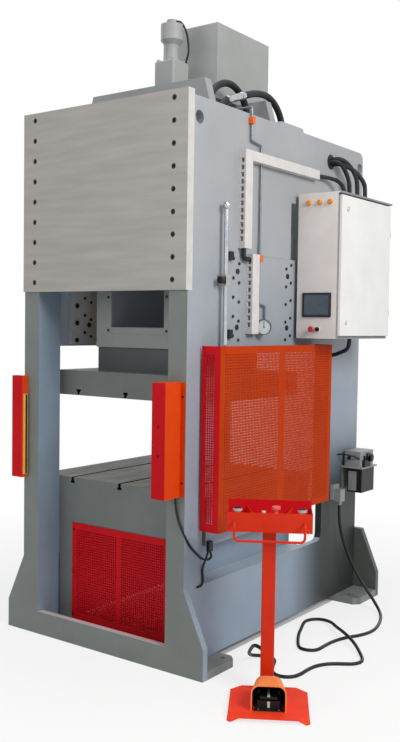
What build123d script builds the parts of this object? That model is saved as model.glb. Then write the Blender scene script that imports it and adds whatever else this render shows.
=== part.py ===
"""Straight-side hydraulic press with its guards, control cabinet and two-hand stand.

Millimetres. +Z is up, +X is to the right seen from the front, and the front faces -Y.
The origin is on the floor, midway between the four anchor holes.
Places along the depth are measured back from the front face of the frame.
"""
import math
import os

from build123d import *

os.makedirs("parts", exist_ok=True)

# Frame
frame_width = 1350
frame_depth = 2260
portal_thickness = 45
side_thickness = 50
side_top = 3400
foot_thickness = 50
cover_bottom = 2275
cover_top = 3430
cover_thickness = 60
cut_over = 20
fit_gap = 0.3
slide_gap = 0.05

half = frame_width / 2
front = -frame_depth / 2
side_inner = half - side_thickness
rear_edge = frame_depth - portal_thickness

# Front and rear portal plates
leg_width = 135
opening_half = half - leg_width
sill_height = 150
flare_reach = 148
flare_top = 508
flare_low = 186
rear_inset = 40
rear_step = 55
rear_flare_reach = 190
rear_top = 3200
rear_window_top = 2275
flare_half = half + flare_reach
rear_half = half - rear_inset
rear_flare_half = half + rear_flare_reach

# Side plates
window_front = 180
window_back = 1665
window_sill = 510
window_top = 1916
window_radius = 55
lift_hole_radius = 40
lift_hole_inset = 95
lift_hole_drop = 120
rear_corner_radius = 60
lug_front = 990
lug_back = 1300
lug_height = 25
access_front = 1155
access_back = 1420
access_bottom = 2523
access_top = 2906
cable_hole_back = 1702
cable_hole_height = 3262
cable_hole_radius = 55

# Front columns and anchor feet
web_thickness = 30
foot_length = 309
foot_chamfer = 40
anchor_edge = 63
anchor_half = flare_half - anchor_edge
anchor_inset = 110
anchor_radius = 17
second_hole_pitch = 180

# Cover screws
cover_screw_edge = 103
cover_screw_half = half - cover_screw_edge
cover_screw_top = 47
cover_screw_pitch = 131
cover_screw_rows = 9
cover_screw_radius = 17
cover_screw_depth = 20
cover_screw_sink = 2
cover_screw_socket = 8

# Crown
crown_front = 300
crown_back = 1560
crown_bottom = 3200
crown_top = 3300
rib_thickness = 70
rib_top = 3612
rib_side_gap = 65
rib_slope_run = 94
rib_foot_half = side_inner - rib_side_gap
rib_top_half = rib_foot_half - rib_slope_run
rib_fronts = (420, 1134)

# Guides, ram and platen
ram_middle = 815
guide_length = 244
guide_height = 770
guide_depth = 50
guide_inner = side_inner - guide_depth
guide_gap_half = 225
ram_half = 357
ram_depth = 920
ram_bottom = 1917
ram_top = 2700
ram_open_half = 222
ram_open_floor = 2051
neck_inset = 20
platen_side_gap = 15
platen_half = side_inner - platen_side_gap
platen_depth = 1140
platen_bottom = 1590
platen_thickness = 166
wing_side_gap = 25
wing_reach = side_inner - wing_side_gap
liner_thickness = 12
slot_pitch = 415
slot_mouth = 22
slot_head = 37
slot_neck_depth = 24
slot_head_height = 16

# Bed
bed_overhang = 15
bed_half = half + bed_overhang
bed_front = 195
bed_depth = 1240
bed_top = 1042
bed_thickness = 299
base_front = 200
base_wall = 30
base_open_half = 385
base_open_bottom = 130
base_open_top = 700
ledge_thickness = 30

# Front mesh door below the bed
door_half = 415
door_bottom = 70
door_top = 737
door_thickness = 5
door_bar = 46
door_rows = 9
door_columns = 6
mesh_web = 14
panel_screw_radius = 7
panel_screw_height = 4
door_screw_inset = 14

# Cylinder
barrel_radius = 200
bore_radius = 150
rod_radius = 110
barrel_bottom = 2400
barrel_flange_radius = 290
barrel_flange_height = 60
head_top = 3600
head_thickness = 60
gland_thickness = 80
piston_height = 140
piston_top_gap = 30

# Gib screws in the side plates
gib_big_radius = 17
gib_small_radius = 10
gib_head_height = 6
gib_big_front = 512
gib_big_heights = (2062, 2409)
gib_outer_front = 467
gib_inner_front = 530
gib_rows = 5
gib_first_outer = 2010
gib_first_inner = 1982
gib_pitch = 119
gib_edge_front = 390
gib_edge_heights = (1957, 2075, 2194)

# Oil tank on the crown
tank_half = 232
tank_front = 886
tank_back = 1535
tank_top = 4116
tank_wall = 6
leg_side = 50
tank_lid_thickness = 10

# Valve on the cylinder head
valve_half = 85
valve_front = 600
valve_depth = 170
valve_top = 3830
valve_chamfer = 12
neck_radius = 48
neck_top = 3945
bonnet_radius = 76
bonnet_bottom = 3975
bonnet_top = 4080
plug_radius = 36
plug_top = 4112
valve_cable_radius = 7

# Hoses on the crown
hose_radius = 23
hose_stub_radius = 30
hose_stub_height = 40
front_hose_x = 370
rear_hose_x = 450

# Pressure pipe and gauge
pipe_radius = 7
pipe_stand_off = 16
pipe_clamp_length = 46
pipe_clamp_width = 34
pipe_clamp_depth = 34
pipe_start_in = 90
pipe_over = 40
pipe_upper = 625
pipe_middle = 740
pipe_lower = 815
pipe_jog_high = 3231
pipe_jog_run = 14
gauge_height = 2065
jog_over_gauge = 148
end_under_gauge = 45
pipe_jog_low = gauge_height + jog_over_gauge
pipe_end = gauge_height - end_under_gauge
pipe_bend = 11
clamp_drop = 45
clamp_over_gauge = 439
clamp_heights = (side_top - clamp_drop, gauge_height + clamp_over_gauge)
gauge_back = 737
gauge_radius = 50
gauge_depth = 34
gauge_rim = 5
gauge_face_drop = 6
gauge_turn = 40
gauge_stand_off = 62
needle_length = 34
needle_width = 4
needle_thickness = 1.5
needle_hub_radius = 5
needle_lift = 1
stem_radius = 7

# Cable ducts
duct_depth = 50
duct_upper_front = 515
duct_width = 80
duct_upper_bottom = 2553
duct_upper_top = 3161
duct_run_end = 1450
duct_run_height = 62
duct_lower_front = 612
duct_lower_bottom = 2021
duct_lower_top = 2523
duct_slot_pitch = 44
duct_slot_height = 28
duct_slot_depth = 24
duct_slot_cut = 26

# Conduits
conduit_radius = 13
run_conduit_bend = 55
run_conduit_points = [(25, 1545, 3130), (63, 1655, 3132), (100, 1735, 3070)]
run_conduit_route = [(half + out, place, height) for out, place, height in run_conduit_points]
bundle_radius = 16
bundle_bend = 55
bundle_reach = 60
start_rise = 8
bundle_fall = 50
bundle_drop = 150
bundle_offsets = ((-19, -8), (12, 17), (14, -19))
bundle_outs = ((90, 1830), (131, 1872), (173, 1912))
bundle_ends = [(half + out, place) for out, place in bundle_outs]
low_conduit_share = 0.6
low_conduit_front = 1640
low_conduit_back = 1712

# Control cabinet
cabinet_gap = 30
cabinet_depth = 300
cabinet_front = 1201
cabinet_width = 783
cabinet_bottom = 1994
cabinet_top = 2968
cabinet_wall = 3
cabinet_lip = 30
mount_side = 60
panel_gap = 2
door_sheet = 20
door_edge_gap = 20
door_side_gap = 8
rain_strip_depth = 28
rain_strip_height = 22
hinge_radius = 9
hinge_length = 70
hinge_inset = 150
lock_inset = 75
lock_radius = 14
lock_height = 8
lock_bar_width = 6
lock_drop = 90
lock_stem_radius = 8

# Cabinet front controls
cabinet_side = half + cabinet_gap
screen_inset = 46
screen_left = cabinet_side + screen_inset
screen_width = 216
screen_rise = 143
screen_bottom = cabinet_bottom + screen_rise
screen_height = 164
screen_depth = 8
screen_border = 14
screen_recess = 2
stop_inset = 125
stop_x = cabinet_side + stop_inset
stop_rise = 62
stop_height = cabinet_bottom + stop_rise
stop_radius = 20
stop_neck_radius = 11
stop_collar_radius = 22
stop_reach = 34
stop_head = 14
selector_inset = 165
selector_x = cabinet_side + selector_inset
selector_radius = 14
selector_reach = 16
selector_bar = 7
selector_collar_radius = 17
collar_height = 6
lamp_insets = (79, 163, 241)
lamp_places = [cabinet_side + inset for inset in lamp_insets]
lamp_drop = 65
lamp_height = cabinet_top - lamp_drop
lamp_radius = 16
lamp_reach = 18
control_gap = 0.4

# Side guard
guard_reach = 151
guard_face = half + guard_reach
guard_stand_off = 15
guard_front = 130
guard_back = 1494
guard_bottom = 848
guard_top = 1950
guard_sheet = 4
guard_bar_front = 786
guard_bar_back = 869
guard_margin = 46
guard_rows = 9
guard_columns = 6
guard_web = 16
guard_rod_radius = 14
guard_rod_reach = 47
guard_rod_x = half + guard_rod_reach
guard_rod_y = 318
guard_rod_top = 2790
guard_ball_radius = 26
guard_bracket = 40
collar_height_middle = 2344
collar_tall = 66
collar_side = 46
collar_gap = 0.3
knob_radius = 22
knob_length = 30
knob_stem_radius = 6
knob_stem_length = 26
stop_block_side = 44
stop_block_tall = 54
stop_block_front = 420
stop_block_depth = 22
stop_block_heights = (2021, 2499)

# Light curtains
left_curtain_reach = 65
left_curtain_x = -half - left_curtain_reach
left_curtain_width = 95
left_curtain_depth = 50
left_curtain_bottom = 1045
right_curtain_x = opening_half
right_curtain_width = 98
right_curtain_depth = 147
right_curtain_bottom = 1062
curtain_height = 676
curtain_flange = 33
curtain_sheet = 3
curtain_bar_depth = 30
curtain_bar_proud = 12
curtain_bar_inset = 60
curtain_cable_radius = 4

# Plug, lubricator
socket_back = 1845
socket_width = 96
socket_bottom = 790
socket_tall = 110
socket_depth = 26
plug_width = 70
plug_depth = 56
plug_tall = 92
plug_drop = 12
plug_gland_radius = 17
plug_gland_length = 26
lube_reach = 182
lube_front = 1950
lube_back = 2206
lube_tray = 1016
lube_tray_thickness = 10
lube_box_height = 116
lube_box_inset = 20
lube_pot_height = 182
lube_pot_reach = 118
lube_pot_inset = 24
lube_pot_offset = 50
lube_gauge_radius = 24
lube_gauge_depth = 16
lube_bracket = 12

# Two-hand stand
stand_x = 1300
stand_y = -45
stand_turn = 31.5
base_side = 432
base_sheet = 6
base_height = 26
base_corner = 62
flap_tip_share = 0.3
post_side = 76
post_wall = 4
post_x = -12
post_back = 168
box_width = 466
box_depth = 190
box_bottom = 952
box_front_height = 106
box_back_height = 146
box_sheet = 4
box_floor_height = 70
well_front = 90
well_back = 124
button_radius = 26
button_collar_radius = 32
button_height = 46
small_button_x = -46
small_button_radius = 12
small_button_height = 30
mushroom_x = 22
mushroom_radius = 24
mushroom_height = 58
mushroom_head = 18
stem_share = 0.5
handle_radius = 7
handle_half = 190
handle_drop = 92
handle_reach = 58
handle_height = 1008
handle_bend = 26
hood_width = 190
hood_height = 142
hood_front = -130
hood_length = 172
hood_back_height = 128
hood_back_width = 152
hood_wall = 7
hood_shoulder = 46
switch_width = 120
switch_height = 46
switch_length = 130
pedal_width = 92
pedal_thickness = 12
pedal_length = 112
pedal_lift = 14
pedal_strip = 14
pedal_strip_height = 3
pin_radius = 5
gland_radius = 16
gland_length = 34
gland_height = 170
gland_lead_length = 94

# Cord from the plug to the stand, places measured back from the front face of the frame
cord_radius = 11
cord_bend_share = 0.45
cord_first_run = 84
cord_route = [
    (742, 1850, 560), (775, 1868, 430), (828, 1890, 300), (900, 1905, 180), (985, 1900, 85),
    (1065, 1850, 25), (1125, 1760, 12), (1170, 1650, 12), (1208, 1525, 12), (1222, 1405, 12),
    (1195, 1292, 12), (1140, 1195, 12), (1108, 1090, 12), (1100, 980, 12), (1104, 870, 12),
    (1074, 830, 12), (1025, 816, 12), (978, 834, 12), (905, 955, 12), (850, 1065, 12),
    (805, 1180, 12), (762, 1285, 12), (758, 1345, 12), (792, 1398, 14), (855, 1412, 18),
    (942, 1362, 28), (1020, 1270, 40), (1085, 1215, 46), (1185, 1130, 46), (1270, 1058, 34),
    (1345, 975, 18), (1405, 895, 12), (1418, 835, 12), (1390, 780, 12), (1335, 745, 12),
    (1265, 690, 12), (1225, 610, 12), (1218, 520, 12), (1222, 445, 12), (1206, 372, 12),
    (1145, 334, 12), (1076, 354, 12), (1022, 448, 12), (985, 545, 12), (925, 573, 12),
    (864, 547, 14), (841, 485, 28), (885, 390, 80), (950, 327, 150), (1012, 265, 192),
    (1081, 226, 196),
]


def back(place):
    """Turn a place measured back from the front face into a Y coordinate."""
    return front + place


def facing_front(place):
    """Upright plane facing the front: sketches there are drawn in X and Z."""
    return Plane(origin=(0, back(place), 0), x_dir=(1, 0, 0), z_dir=(0, -1, 0))


def facing_right(x):
    """Upright plane facing right: sketches there are drawn in Y and Z."""
    return Plane(origin=(x, 0, 0), x_dir=(0, 1, 0), z_dir=(1, 0, 0))


def patch(low_a, high_a, low_b, high_b, mode=Mode.ADD):
    """Rectangle between two corners of the sketch."""
    with Locations(((low_a + high_a) / 2, (low_b + high_b) / 2)):
        Rectangle(high_a - low_a, high_b - low_b, mode=mode)


def block(low, high, mode=Mode.ADD):
    """Rectangular solid between two corners."""
    middle = [(a + b) / 2 for a, b in zip(low, high)]
    with Locations(tuple(middle)):
        Box(*[b - a for a, b in zip(low, high)], mode=mode)


def rod(start, end, radius, mode=Mode.ADD):
    """Round bar from one point to another."""
    axis = Vector(*end) - Vector(*start)
    with BuildSketch(Plane(origin=start, z_dir=axis.normalized()), mode=Mode.PRIVATE) as section:
        Circle(radius)
    extrude(section.sketch, amount=axis.length, dir=axis.normalized(), mode=mode)


def tube(points, radius, bends, mode=Mode.ADD):
    """Round tube along straight runs joined by tangent arcs."""
    with BuildLine(mode=Mode.PRIVATE) as path:
        FilletPolyline(*points, radius=bends)
    line = path.line
    with BuildSketch(Plane(origin=line @ 0, z_dir=line % 0), mode=Mode.PRIVATE) as section:
        Circle(radius)
    sweep(section.sketch, path=line, mode=mode)


def gap_grid(low_a, high_a, low_b, high_b, columns, rows, web):
    """Square gaps of a perforated wall, cut from the sketch."""
    step_a = (high_a - low_a) / columns
    step_b = (high_b - low_b) / rows
    with Locations(((low_a + high_a) / 2, (low_b + high_b) / 2)):
        with GridLocations(step_a, step_b, columns, rows):
            Rectangle(step_a - web, step_b - web, mode=Mode.SUBTRACT)


def save(builder, name):
    """Label a finished piece and write it."""
    builder.part.label = name
    export_step(builder.part, f"parts/{name}.step")


# Front portal plate: two legs on flared feet, with webs that close them into box columns
with BuildPart() as front_portal:
    with BuildSketch(facing_front(0)):
        Polygon(
            (-half, cover_bottom), (-half, flare_top), (-flare_half, flare_low), (-flare_half, 0),
            (flare_half, 0), (flare_half, flare_low), (half, flare_top), (half, cover_bottom),
            align=None,
        )
        patch(-opening_half, opening_half, sill_height, cover_bottom + cut_over, Mode.SUBTRACT)
    extrude(amount=-portal_thickness)
    for side in (-1, 1):
        with BuildSketch(Plane.XY.offset(foot_thickness)):
            web_out = opening_half + web_thickness
            patch(*sorted((side * opening_half, side * web_out)),
                  back(portal_thickness), back(bed_front) - fit_gap)
            patch(*sorted((side * web_out, side * side_inner)),
                  back(window_front - web_thickness), back(window_front))
        extrude(amount=cover_bottom - foot_thickness)
save(front_portal, "front_portal")

# Rear portal plate, set in from the side plates above its flared feet
with BuildPart() as rear_portal:
    with BuildSketch(facing_front(rear_edge)):
        Polygon(
            (-rear_half, rear_top), (-rear_half, flare_top), (-half - rear_step, flare_top),
            (-rear_flare_half, flare_low), (-rear_flare_half, 0),
            (rear_flare_half, 0), (rear_flare_half, flare_low), (half + rear_step, flare_top),
            (rear_half, flare_top), (rear_half, rear_top),
            align=None,
        )
        patch(-opening_half, opening_half, sill_height, rear_window_top, Mode.SUBTRACT)
    extrude(amount=-portal_thickness)
save(rear_portal, "rear_portal")

# Side plates with their work windows, lifting holes and a low lug on the top edge
for side, plate_name in ((-1, "side_plate_left"), (1, "side_plate_right")):
    with BuildPart() as side_plate:
        with BuildSketch(facing_right(side_inner if side > 0 else -half)):
            patch(back(portal_thickness), back(rear_edge), foot_thickness, side_top)
            rear_top_corner = vertices().sort_by(Axis.X).group_by(Axis.X)[-1].sort_by(Axis.Y)[-1]
            fillet(rear_top_corner, rear_corner_radius)
            with Locations((back((lug_front + lug_back) / 2), side_top)):
                RectangleRounded(lug_back - lug_front, lug_height * 2, lug_height - fit_gap)
            window_middle = (back((window_front + window_back) / 2), (window_sill + window_top) / 2)
            with Locations(window_middle):
                RectangleRounded(window_back - window_front, window_top - window_sill,
                                 window_radius, mode=Mode.SUBTRACT)
            lift_rows = (back(lift_hole_inset), back(frame_depth - lift_hole_inset))
            with Locations(*[(y, side_top - lift_hole_drop) for y in lift_rows]):
                Circle(lift_hole_radius, mode=Mode.SUBTRACT)
            if side > 0:
                patch(back(access_front), back(access_back), access_bottom, access_top,
                      Mode.SUBTRACT)
                with Locations((back(cable_hole_back), cable_hole_height)):
                    Circle(cable_hole_radius, mode=Mode.SUBTRACT)
        extrude(amount=side_thickness)
    save(side_plate, plate_name)

# Anchor feet on the floor, two holes in each
with BuildPart() as anchor_feet:
    with BuildSketch():
        for side in (-1, 1):
            for end in (-1, 1):
                outer = flare_half if end < 0 else rear_flare_half
                near = end * (frame_depth / 2 - portal_thickness)
                far = near - end * foot_length
                inner_x = side * opening_half
                outer_x = side * outer
                Polygon(
                    (inner_x, near), (outer_x, near), (outer_x, far + end * foot_chamfer),
                    (outer_x - side * foot_chamfer, far), (inner_x, far), align=None,
                )
                anchor_y = end * (frame_depth / 2 - anchor_inset)
                with Locations((side * anchor_half, anchor_y),
                               (side * anchor_half, anchor_y - end * second_hole_pitch)):
                    Circle(anchor_radius, mode=Mode.SUBTRACT)
    extrude(amount=foot_thickness)
save(anchor_feet, "anchor_feet")

# Front cover plate with counterbores down both sides
cover_screw_places = [
    (side * cover_screw_half, cover_top - cover_screw_top - row * cover_screw_pitch)
    for side in (-1, 1) for row in range(cover_screw_rows)
]
cover_face = portal_thickness - cover_thickness
with BuildPart() as front_cover:
    with BuildSketch(facing_front(cover_face)):
        patch(-half, half, cover_bottom, cover_top)
    extrude(amount=-cover_thickness)
    with BuildSketch(facing_front(cover_face)):
        with Locations(*cover_screw_places):
            Circle(cover_screw_radius)
    extrude(amount=-cover_screw_depth, mode=Mode.SUBTRACT)
save(front_cover, "front_cover")

with BuildPart() as cover_screws:
    with BuildSketch(facing_front(cover_face + cover_screw_depth)):
        with Locations(*cover_screw_places):
            Circle(cover_screw_radius - fit_gap)
    extrude(amount=cover_screw_depth - cover_screw_sink)
    with BuildSketch(facing_front(cover_face + cover_screw_sink)):
        with Locations(*cover_screw_places):
            RegularPolygon(cover_screw_socket, 6)
    extrude(amount=-cover_screw_depth / 2, mode=Mode.SUBTRACT)
save(cover_screws, "cover_screws")

# Crown plate that carries the cylinder, and its two stiffening ribs
with BuildPart() as crown:
    with BuildSketch(Plane.XY.offset(crown_bottom)):
        patch(-side_inner, side_inner, back(crown_front), back(crown_back))
        with Locations((0, back(ram_middle))):
            Circle(barrel_radius + fit_gap, mode=Mode.SUBTRACT)
    extrude(amount=crown_top - crown_bottom)
    for rib_front in rib_fronts:
        with BuildSketch(facing_front(rib_front)):
            Polygon((-rib_foot_half, crown_top), (rib_foot_half, crown_top),
                    (rib_top_half, rib_top), (-rib_top_half, rib_top), align=None)
        extrude(amount=-rib_thickness)
save(crown, "crown")

# Hydraulic cylinder: barrel hung on its flange, gland below, head cap above
with BuildPart() as cylinder_barrel:
    with BuildSketch(Plane.XY.offset(barrel_bottom)):
        with Locations((0, back(ram_middle))):
            Circle(barrel_radius)
            Circle(bore_radius, mode=Mode.SUBTRACT)
    extrude(amount=head_top - head_thickness - barrel_bottom)
    with BuildSketch(Plane.XY.offset(crown_top)):
        with Locations((0, back(ram_middle))):
            Circle(barrel_flange_radius)
            Circle(barrel_radius, mode=Mode.SUBTRACT)
    extrude(amount=barrel_flange_height)
    with BuildSketch(Plane.XY.offset(head_top - head_thickness)):
        with Locations((0, back(ram_middle))):
            Circle(barrel_radius)
    extrude(amount=head_thickness)
    with BuildSketch(Plane.XY.offset(barrel_bottom)):
        with Locations((0, back(ram_middle))):
            Circle(bore_radius)
            Circle(rod_radius + slide_gap, mode=Mode.SUBTRACT)
    extrude(amount=gland_thickness)
save(cylinder_barrel, "cylinder_barrel")

piston_top = head_top - head_thickness - piston_top_gap
with BuildPart() as piston_rod:
    with BuildSketch(Plane.XY.offset(ram_open_floor)):
        with Locations((0, back(ram_middle))):
            Circle(rod_radius)
    extrude(amount=piston_top - piston_height - ram_open_floor)
    with BuildSketch(Plane.XY.offset(piston_top - piston_height)):
        with Locations((0, back(ram_middle))):
            Circle(bore_radius - slide_gap)
    extrude(amount=piston_height)
save(piston_rod, "piston_rod")

# Guide blocks on the side plates, a pair each side of the ram's wings
guide_bottom = ram_bottom + (ram_top - ram_bottom - guide_height)
with BuildPart() as guide_blocks:
    with BuildSketch(Plane.XY.offset(guide_bottom)):
        for side in (-1, 1):
            for end in (-1, 1):
                near = back(ram_middle) + end * guide_gap_half
                patch(*sorted((side * guide_inner, side * side_inner)),
                      *sorted((near, near + end * guide_length)))
    extrude(amount=guide_height)
save(guide_blocks, "guide_blocks")

# Ram: box body open in front, with guided wings and a recessed neck on the platen
ram_front = back(ram_middle) - ram_depth / 2
ram_back = back(ram_middle) + ram_depth / 2
platen_top = platen_bottom + platen_thickness
wing_half_depth = guide_gap_half - liner_thickness - fit_gap
with BuildPart() as ram_body:
    block((-ram_half, ram_front, ram_bottom), (ram_half, ram_back, ram_top))
    block((-wing_reach, back(ram_middle) - wing_half_depth, ram_bottom),
          (wing_reach, back(ram_middle) + wing_half_depth, ram_top))
    block((-ram_open_half, ram_front - cut_over, ram_open_floor),
          (ram_open_half, ram_back + cut_over, ram_top + cut_over), Mode.SUBTRACT)
    block((-ram_half, ram_front + neck_inset, platen_top),
          (ram_half, ram_back - neck_inset, ram_bottom))
save(ram_body, "ram_body")

with BuildPart() as ram_liners:
    for side in (-1, 1):
        for end in (-1, 1):
            near = back(ram_middle) + end * wing_half_depth
            low_x, high_x = sorted((side * (ram_half + liner_thickness), side * wing_reach))
            low_y, high_y = sorted((near, near + end * liner_thickness))
            block((low_x, low_y, ram_bottom), (high_x, high_y, ram_top))
save(ram_liners, "ram_liners")

slot_places = (-slot_pitch, 0, slot_pitch)


def cut_slots(low_y, high_y, face, up):
    """Cut T slots along the depth into a table face; up is 1 for a top face."""
    for x in slot_places:
        neck = face - up * slot_neck_depth
        head = neck - up * slot_head_height
        low_z, high_z = sorted((face + up * cut_over, neck))
        block((x - slot_mouth / 2, low_y, low_z), (x + slot_mouth / 2, high_y, high_z),
              Mode.SUBTRACT)
        low_z, high_z = sorted((neck, head))
        block((x - slot_head / 2, low_y, low_z), (x + slot_head / 2, high_y, high_z),
              Mode.SUBTRACT)


platen_front = back(ram_middle) - platen_depth / 2
platen_back = back(ram_middle) + platen_depth / 2
with BuildPart() as platen:
    block((-platen_half, platen_front, platen_bottom), (platen_half, platen_back, platen_top))
    cut_slots(platen_front - cut_over, platen_back + cut_over, platen_bottom, -1)
save(platen, "platen")

# Bed plate through the side windows, on a box base with side ledges
bed_back = bed_front + bed_depth
bed_bottom = bed_top - bed_thickness
with BuildPart() as bed_plate:
    block((-bed_half, back(bed_front), bed_bottom), (bed_half, back(bed_back), bed_top))
    cut_slots(back(bed_front) - cut_over, back(bed_back) + cut_over, bed_top, 1)
save(bed_plate, "bed_plate")

with BuildPart() as bed_base:
    block((-opening_half, back(base_front), foot_thickness),
          (opening_half, back(bed_back), bed_bottom))
    block((-opening_half + base_wall, back(base_front + base_wall), foot_thickness - cut_over),
          (opening_half - base_wall, back(bed_back - base_wall), bed_bottom - base_wall),
          Mode.SUBTRACT)
    block((-base_open_half, back(base_front) - cut_over, base_open_bottom),
          (base_open_half, back(base_front + base_wall) + cut_over, base_open_top), Mode.SUBTRACT)
    for side in (-1, 1):
        low_x, high_x = sorted((side * opening_half, side * side_inner))
        block((low_x, back(base_front), window_sill - ledge_thickness),
              (high_x, back(bed_back), window_sill))
save(bed_base, "bed_base")

# Mesh door screwed on below the bed
with BuildPart() as mesh_door:
    with BuildSketch(facing_front(base_front - door_thickness)):
        patch(-door_half, door_half, door_bottom, door_top)
        for side in (-1, 1):
            low_x, high_x = sorted((side * door_bar / 2, side * (door_half - door_bar)))
            gap_grid(low_x, high_x, door_bottom + door_bar, door_top - door_bar,
                     door_columns, door_rows, mesh_web)
    extrude(amount=-door_thickness)
save(mesh_door, "mesh_door")

# Gib screws: heads on both outer faces, and their ends on the guide blocks
gib_small_places = [
    (place, first + row * gib_pitch)
    for place, first in ((gib_outer_front, gib_first_outer), (gib_inner_front, gib_first_inner))
    for row in range(gib_rows)
]
gib_big_places = [(gib_big_front, z) for z in gib_big_heights]
gib_edge_places = [(gib_edge_front, z) for z in gib_edge_heights]


def both_ends(places):
    """Places for the front gibs and the same mirrored for the rear gibs."""
    mirrored = [(2 * ram_middle - place, z) for place, z in places]
    return [(back(place), z) for place, z in places + mirrored]


with BuildPart() as gib_screws:
    for base_x, grow in ((half, 1), (-half, -1), (-guide_inner, 1), (guide_inner, -1)):
        with BuildSketch(facing_right(base_x)):
            with Locations(*both_ends(gib_big_places)):
                Circle(gib_big_radius)
            with Locations(*both_ends(gib_small_places)):
                Circle(gib_small_radius)
            if abs(base_x) == guide_inner:
                with Locations(*both_ends(gib_edge_places)):
                    Circle(gib_big_radius)
        extrude(amount=grow * gib_head_height)
save(gib_screws, "gib_screws")

# Oil tank standing on the rear rib and four legs
with BuildPart() as oil_tank:
    block((-tank_half, back(tank_front), rib_top), (tank_half, back(tank_back), tank_top))
    block((-tank_half + tank_wall, back(tank_front) + tank_wall, rib_top + tank_wall),
          (tank_half - tank_wall, back(tank_back) - tank_wall, tank_top - tank_lid_thickness),
          Mode.SUBTRACT)
    for x in (-tank_half, tank_half - leg_side):
        block((x, back(tank_back) - leg_side, crown_top), (x + leg_side, back(tank_back), rib_top))
save(oil_tank, "oil_tank")

# Pilot valve on the cylinder head: block, neck, bonnet and plug
valve_middle = back(valve_front + valve_depth / 2)
with BuildPart() as valve_block:
    block((-valve_half, back(valve_front), head_top),
          (valve_half, back(valve_front + valve_depth), valve_top))
    chamfer(valve_block.edges().filter_by(Axis.Z), valve_chamfer)
    chamfer(valve_block.faces().sort_by(Axis.Z)[-1].edges(), valve_chamfer / 2)
    with BuildSketch(Plane(origin=(0, valve_middle, 0), x_dir=(1, 0, 0), z_dir=(0, -1, 0))):
        Polygon(
            (0, valve_top), (neck_radius, valve_top), (neck_radius, neck_top),
            (bonnet_radius, bonnet_bottom), (bonnet_radius, bonnet_top),
            (plug_radius, bonnet_top), (plug_radius, plug_top), (0, plug_top), align=None,
        )
    revolve(axis=Axis((0, valve_middle, 0), (0, 0, 1)))
save(valve_block, "valve_block")

# Hoses that arch over the crown between screwed stubs
front_hose_shares = ((0.2381, 0), (0.2381, 0.6618), (0.3095, 1.1029), (0.3968, 1.2868),
                     (0.4921, 1.25), (0.5714, 0.9926), (0.6032, 0.5515), (0.6032, 0))
rear_hose_shares = ((0.254, 0), (0.254, 0.4779), (0.3175, 0.6985), (0.627, 1.2059),
                    (0.746, 1.1581), (0.8492, 0.7353), (0.873, 0.2206), (0.873, 0))
hose_low = crown_top + hose_stub_height


def hose_path(shares):
    """Points of a hose from shares of the crown's depth and of the ribs' height over the stubs."""
    return [(crown_front + deep * (crown_back - crown_front), hose_low + tall * (rib_top - hose_low))
            for deep, tall in shares]


hose_routes = ((front_hose_x, hose_path(front_hose_shares)), (rear_hose_x, hose_path(rear_hose_shares)))
hose_bend = 80
with BuildPart() as crown_hoses:
    for hose_x, path in hose_routes:
        tube([(hose_x, back(y), z) for y, z in path], hose_radius, hose_bend)
save(crown_hoses, "crown_hoses")

with BuildPart() as hose_stubs:
    with BuildSketch(Plane.XY.offset(crown_top)):
        for hose_x, path in hose_routes:
            with Locations((hose_x, back(path[0][0])), (hose_x, back(path[-1][0]))):
                Circle(hose_stub_radius)
    extrude(amount=hose_stub_height)
save(hose_stubs, "hose_stubs")

# Pressure pipe from the crown over the side plate and down to the gauge
pipe_x = half + pipe_stand_off
pipe_high = side_top + pipe_over
with BuildPart() as pressure_pipe:
    tube(
        [(side_inner - pipe_start_in, back(pipe_upper), crown_top),
         (side_inner - pipe_start_in, back(pipe_upper), pipe_high),
         (pipe_x, back(pipe_upper), pipe_high),
         (pipe_x, back(pipe_upper), pipe_jog_high),
         (pipe_x, back(pipe_middle), pipe_jog_high - pipe_jog_run),
         (pipe_x, back(pipe_middle), pipe_jog_low),
         (pipe_x, back(pipe_lower), pipe_jog_low - pipe_jog_run),
         (pipe_x, back(pipe_lower), pipe_end)],
        pipe_radius, pipe_bend,
    )
save(pressure_pipe, "pressure_pipe")

with BuildPart() as pipe_clamps:
    for place, z in zip((pipe_upper, pipe_middle), clamp_heights):
        with BuildSketch(facing_right(half)):
            with Locations((back(place), z)):
                RectangleRounded(pipe_clamp_width, pipe_clamp_length, pipe_radius)
        extrude(amount=pipe_clamp_depth)
        rod((pipe_x, back(place), z - pipe_clamp_length), (pipe_x, back(place), z + pipe_clamp_length),
            pipe_radius + slide_gap, Mode.SUBTRACT)
save(pipe_clamps, "pipe_clamps")

# Pressure gauge, turned towards the front, on a stem from the pipe
gauge_angle = math.radians(gauge_turn)
gauge_dir = (math.cos(gauge_angle), -math.sin(gauge_angle), 0)
gauge_plane = Plane(origin=(half + gauge_stand_off, back(gauge_back), gauge_height),
                    x_dir=(math.sin(gauge_angle), math.cos(gauge_angle), 0), z_dir=gauge_dir)
with BuildPart() as gauge_case:
    with BuildSketch(gauge_plane.offset(-gauge_depth)):
        Circle(gauge_radius)
    extrude(amount=gauge_depth)
    with BuildSketch(gauge_plane):
        Circle(gauge_radius - gauge_rim)
    extrude(amount=-gauge_face_drop, mode=Mode.SUBTRACT)
    stem_start = gauge_plane.from_local_coords(Vector(gauge_radius - gauge_rim, 0, -gauge_depth / 2))
    rod(tuple(stem_start), (pipe_x, back(pipe_lower), gauge_height), stem_radius)
    rod((pipe_x, back(pipe_lower), gauge_height - gauge_radius),
        (pipe_x, back(pipe_lower), gauge_height + gauge_radius), pipe_radius + slide_gap,
        Mode.SUBTRACT)
save(gauge_case, "gauge_case")

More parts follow.
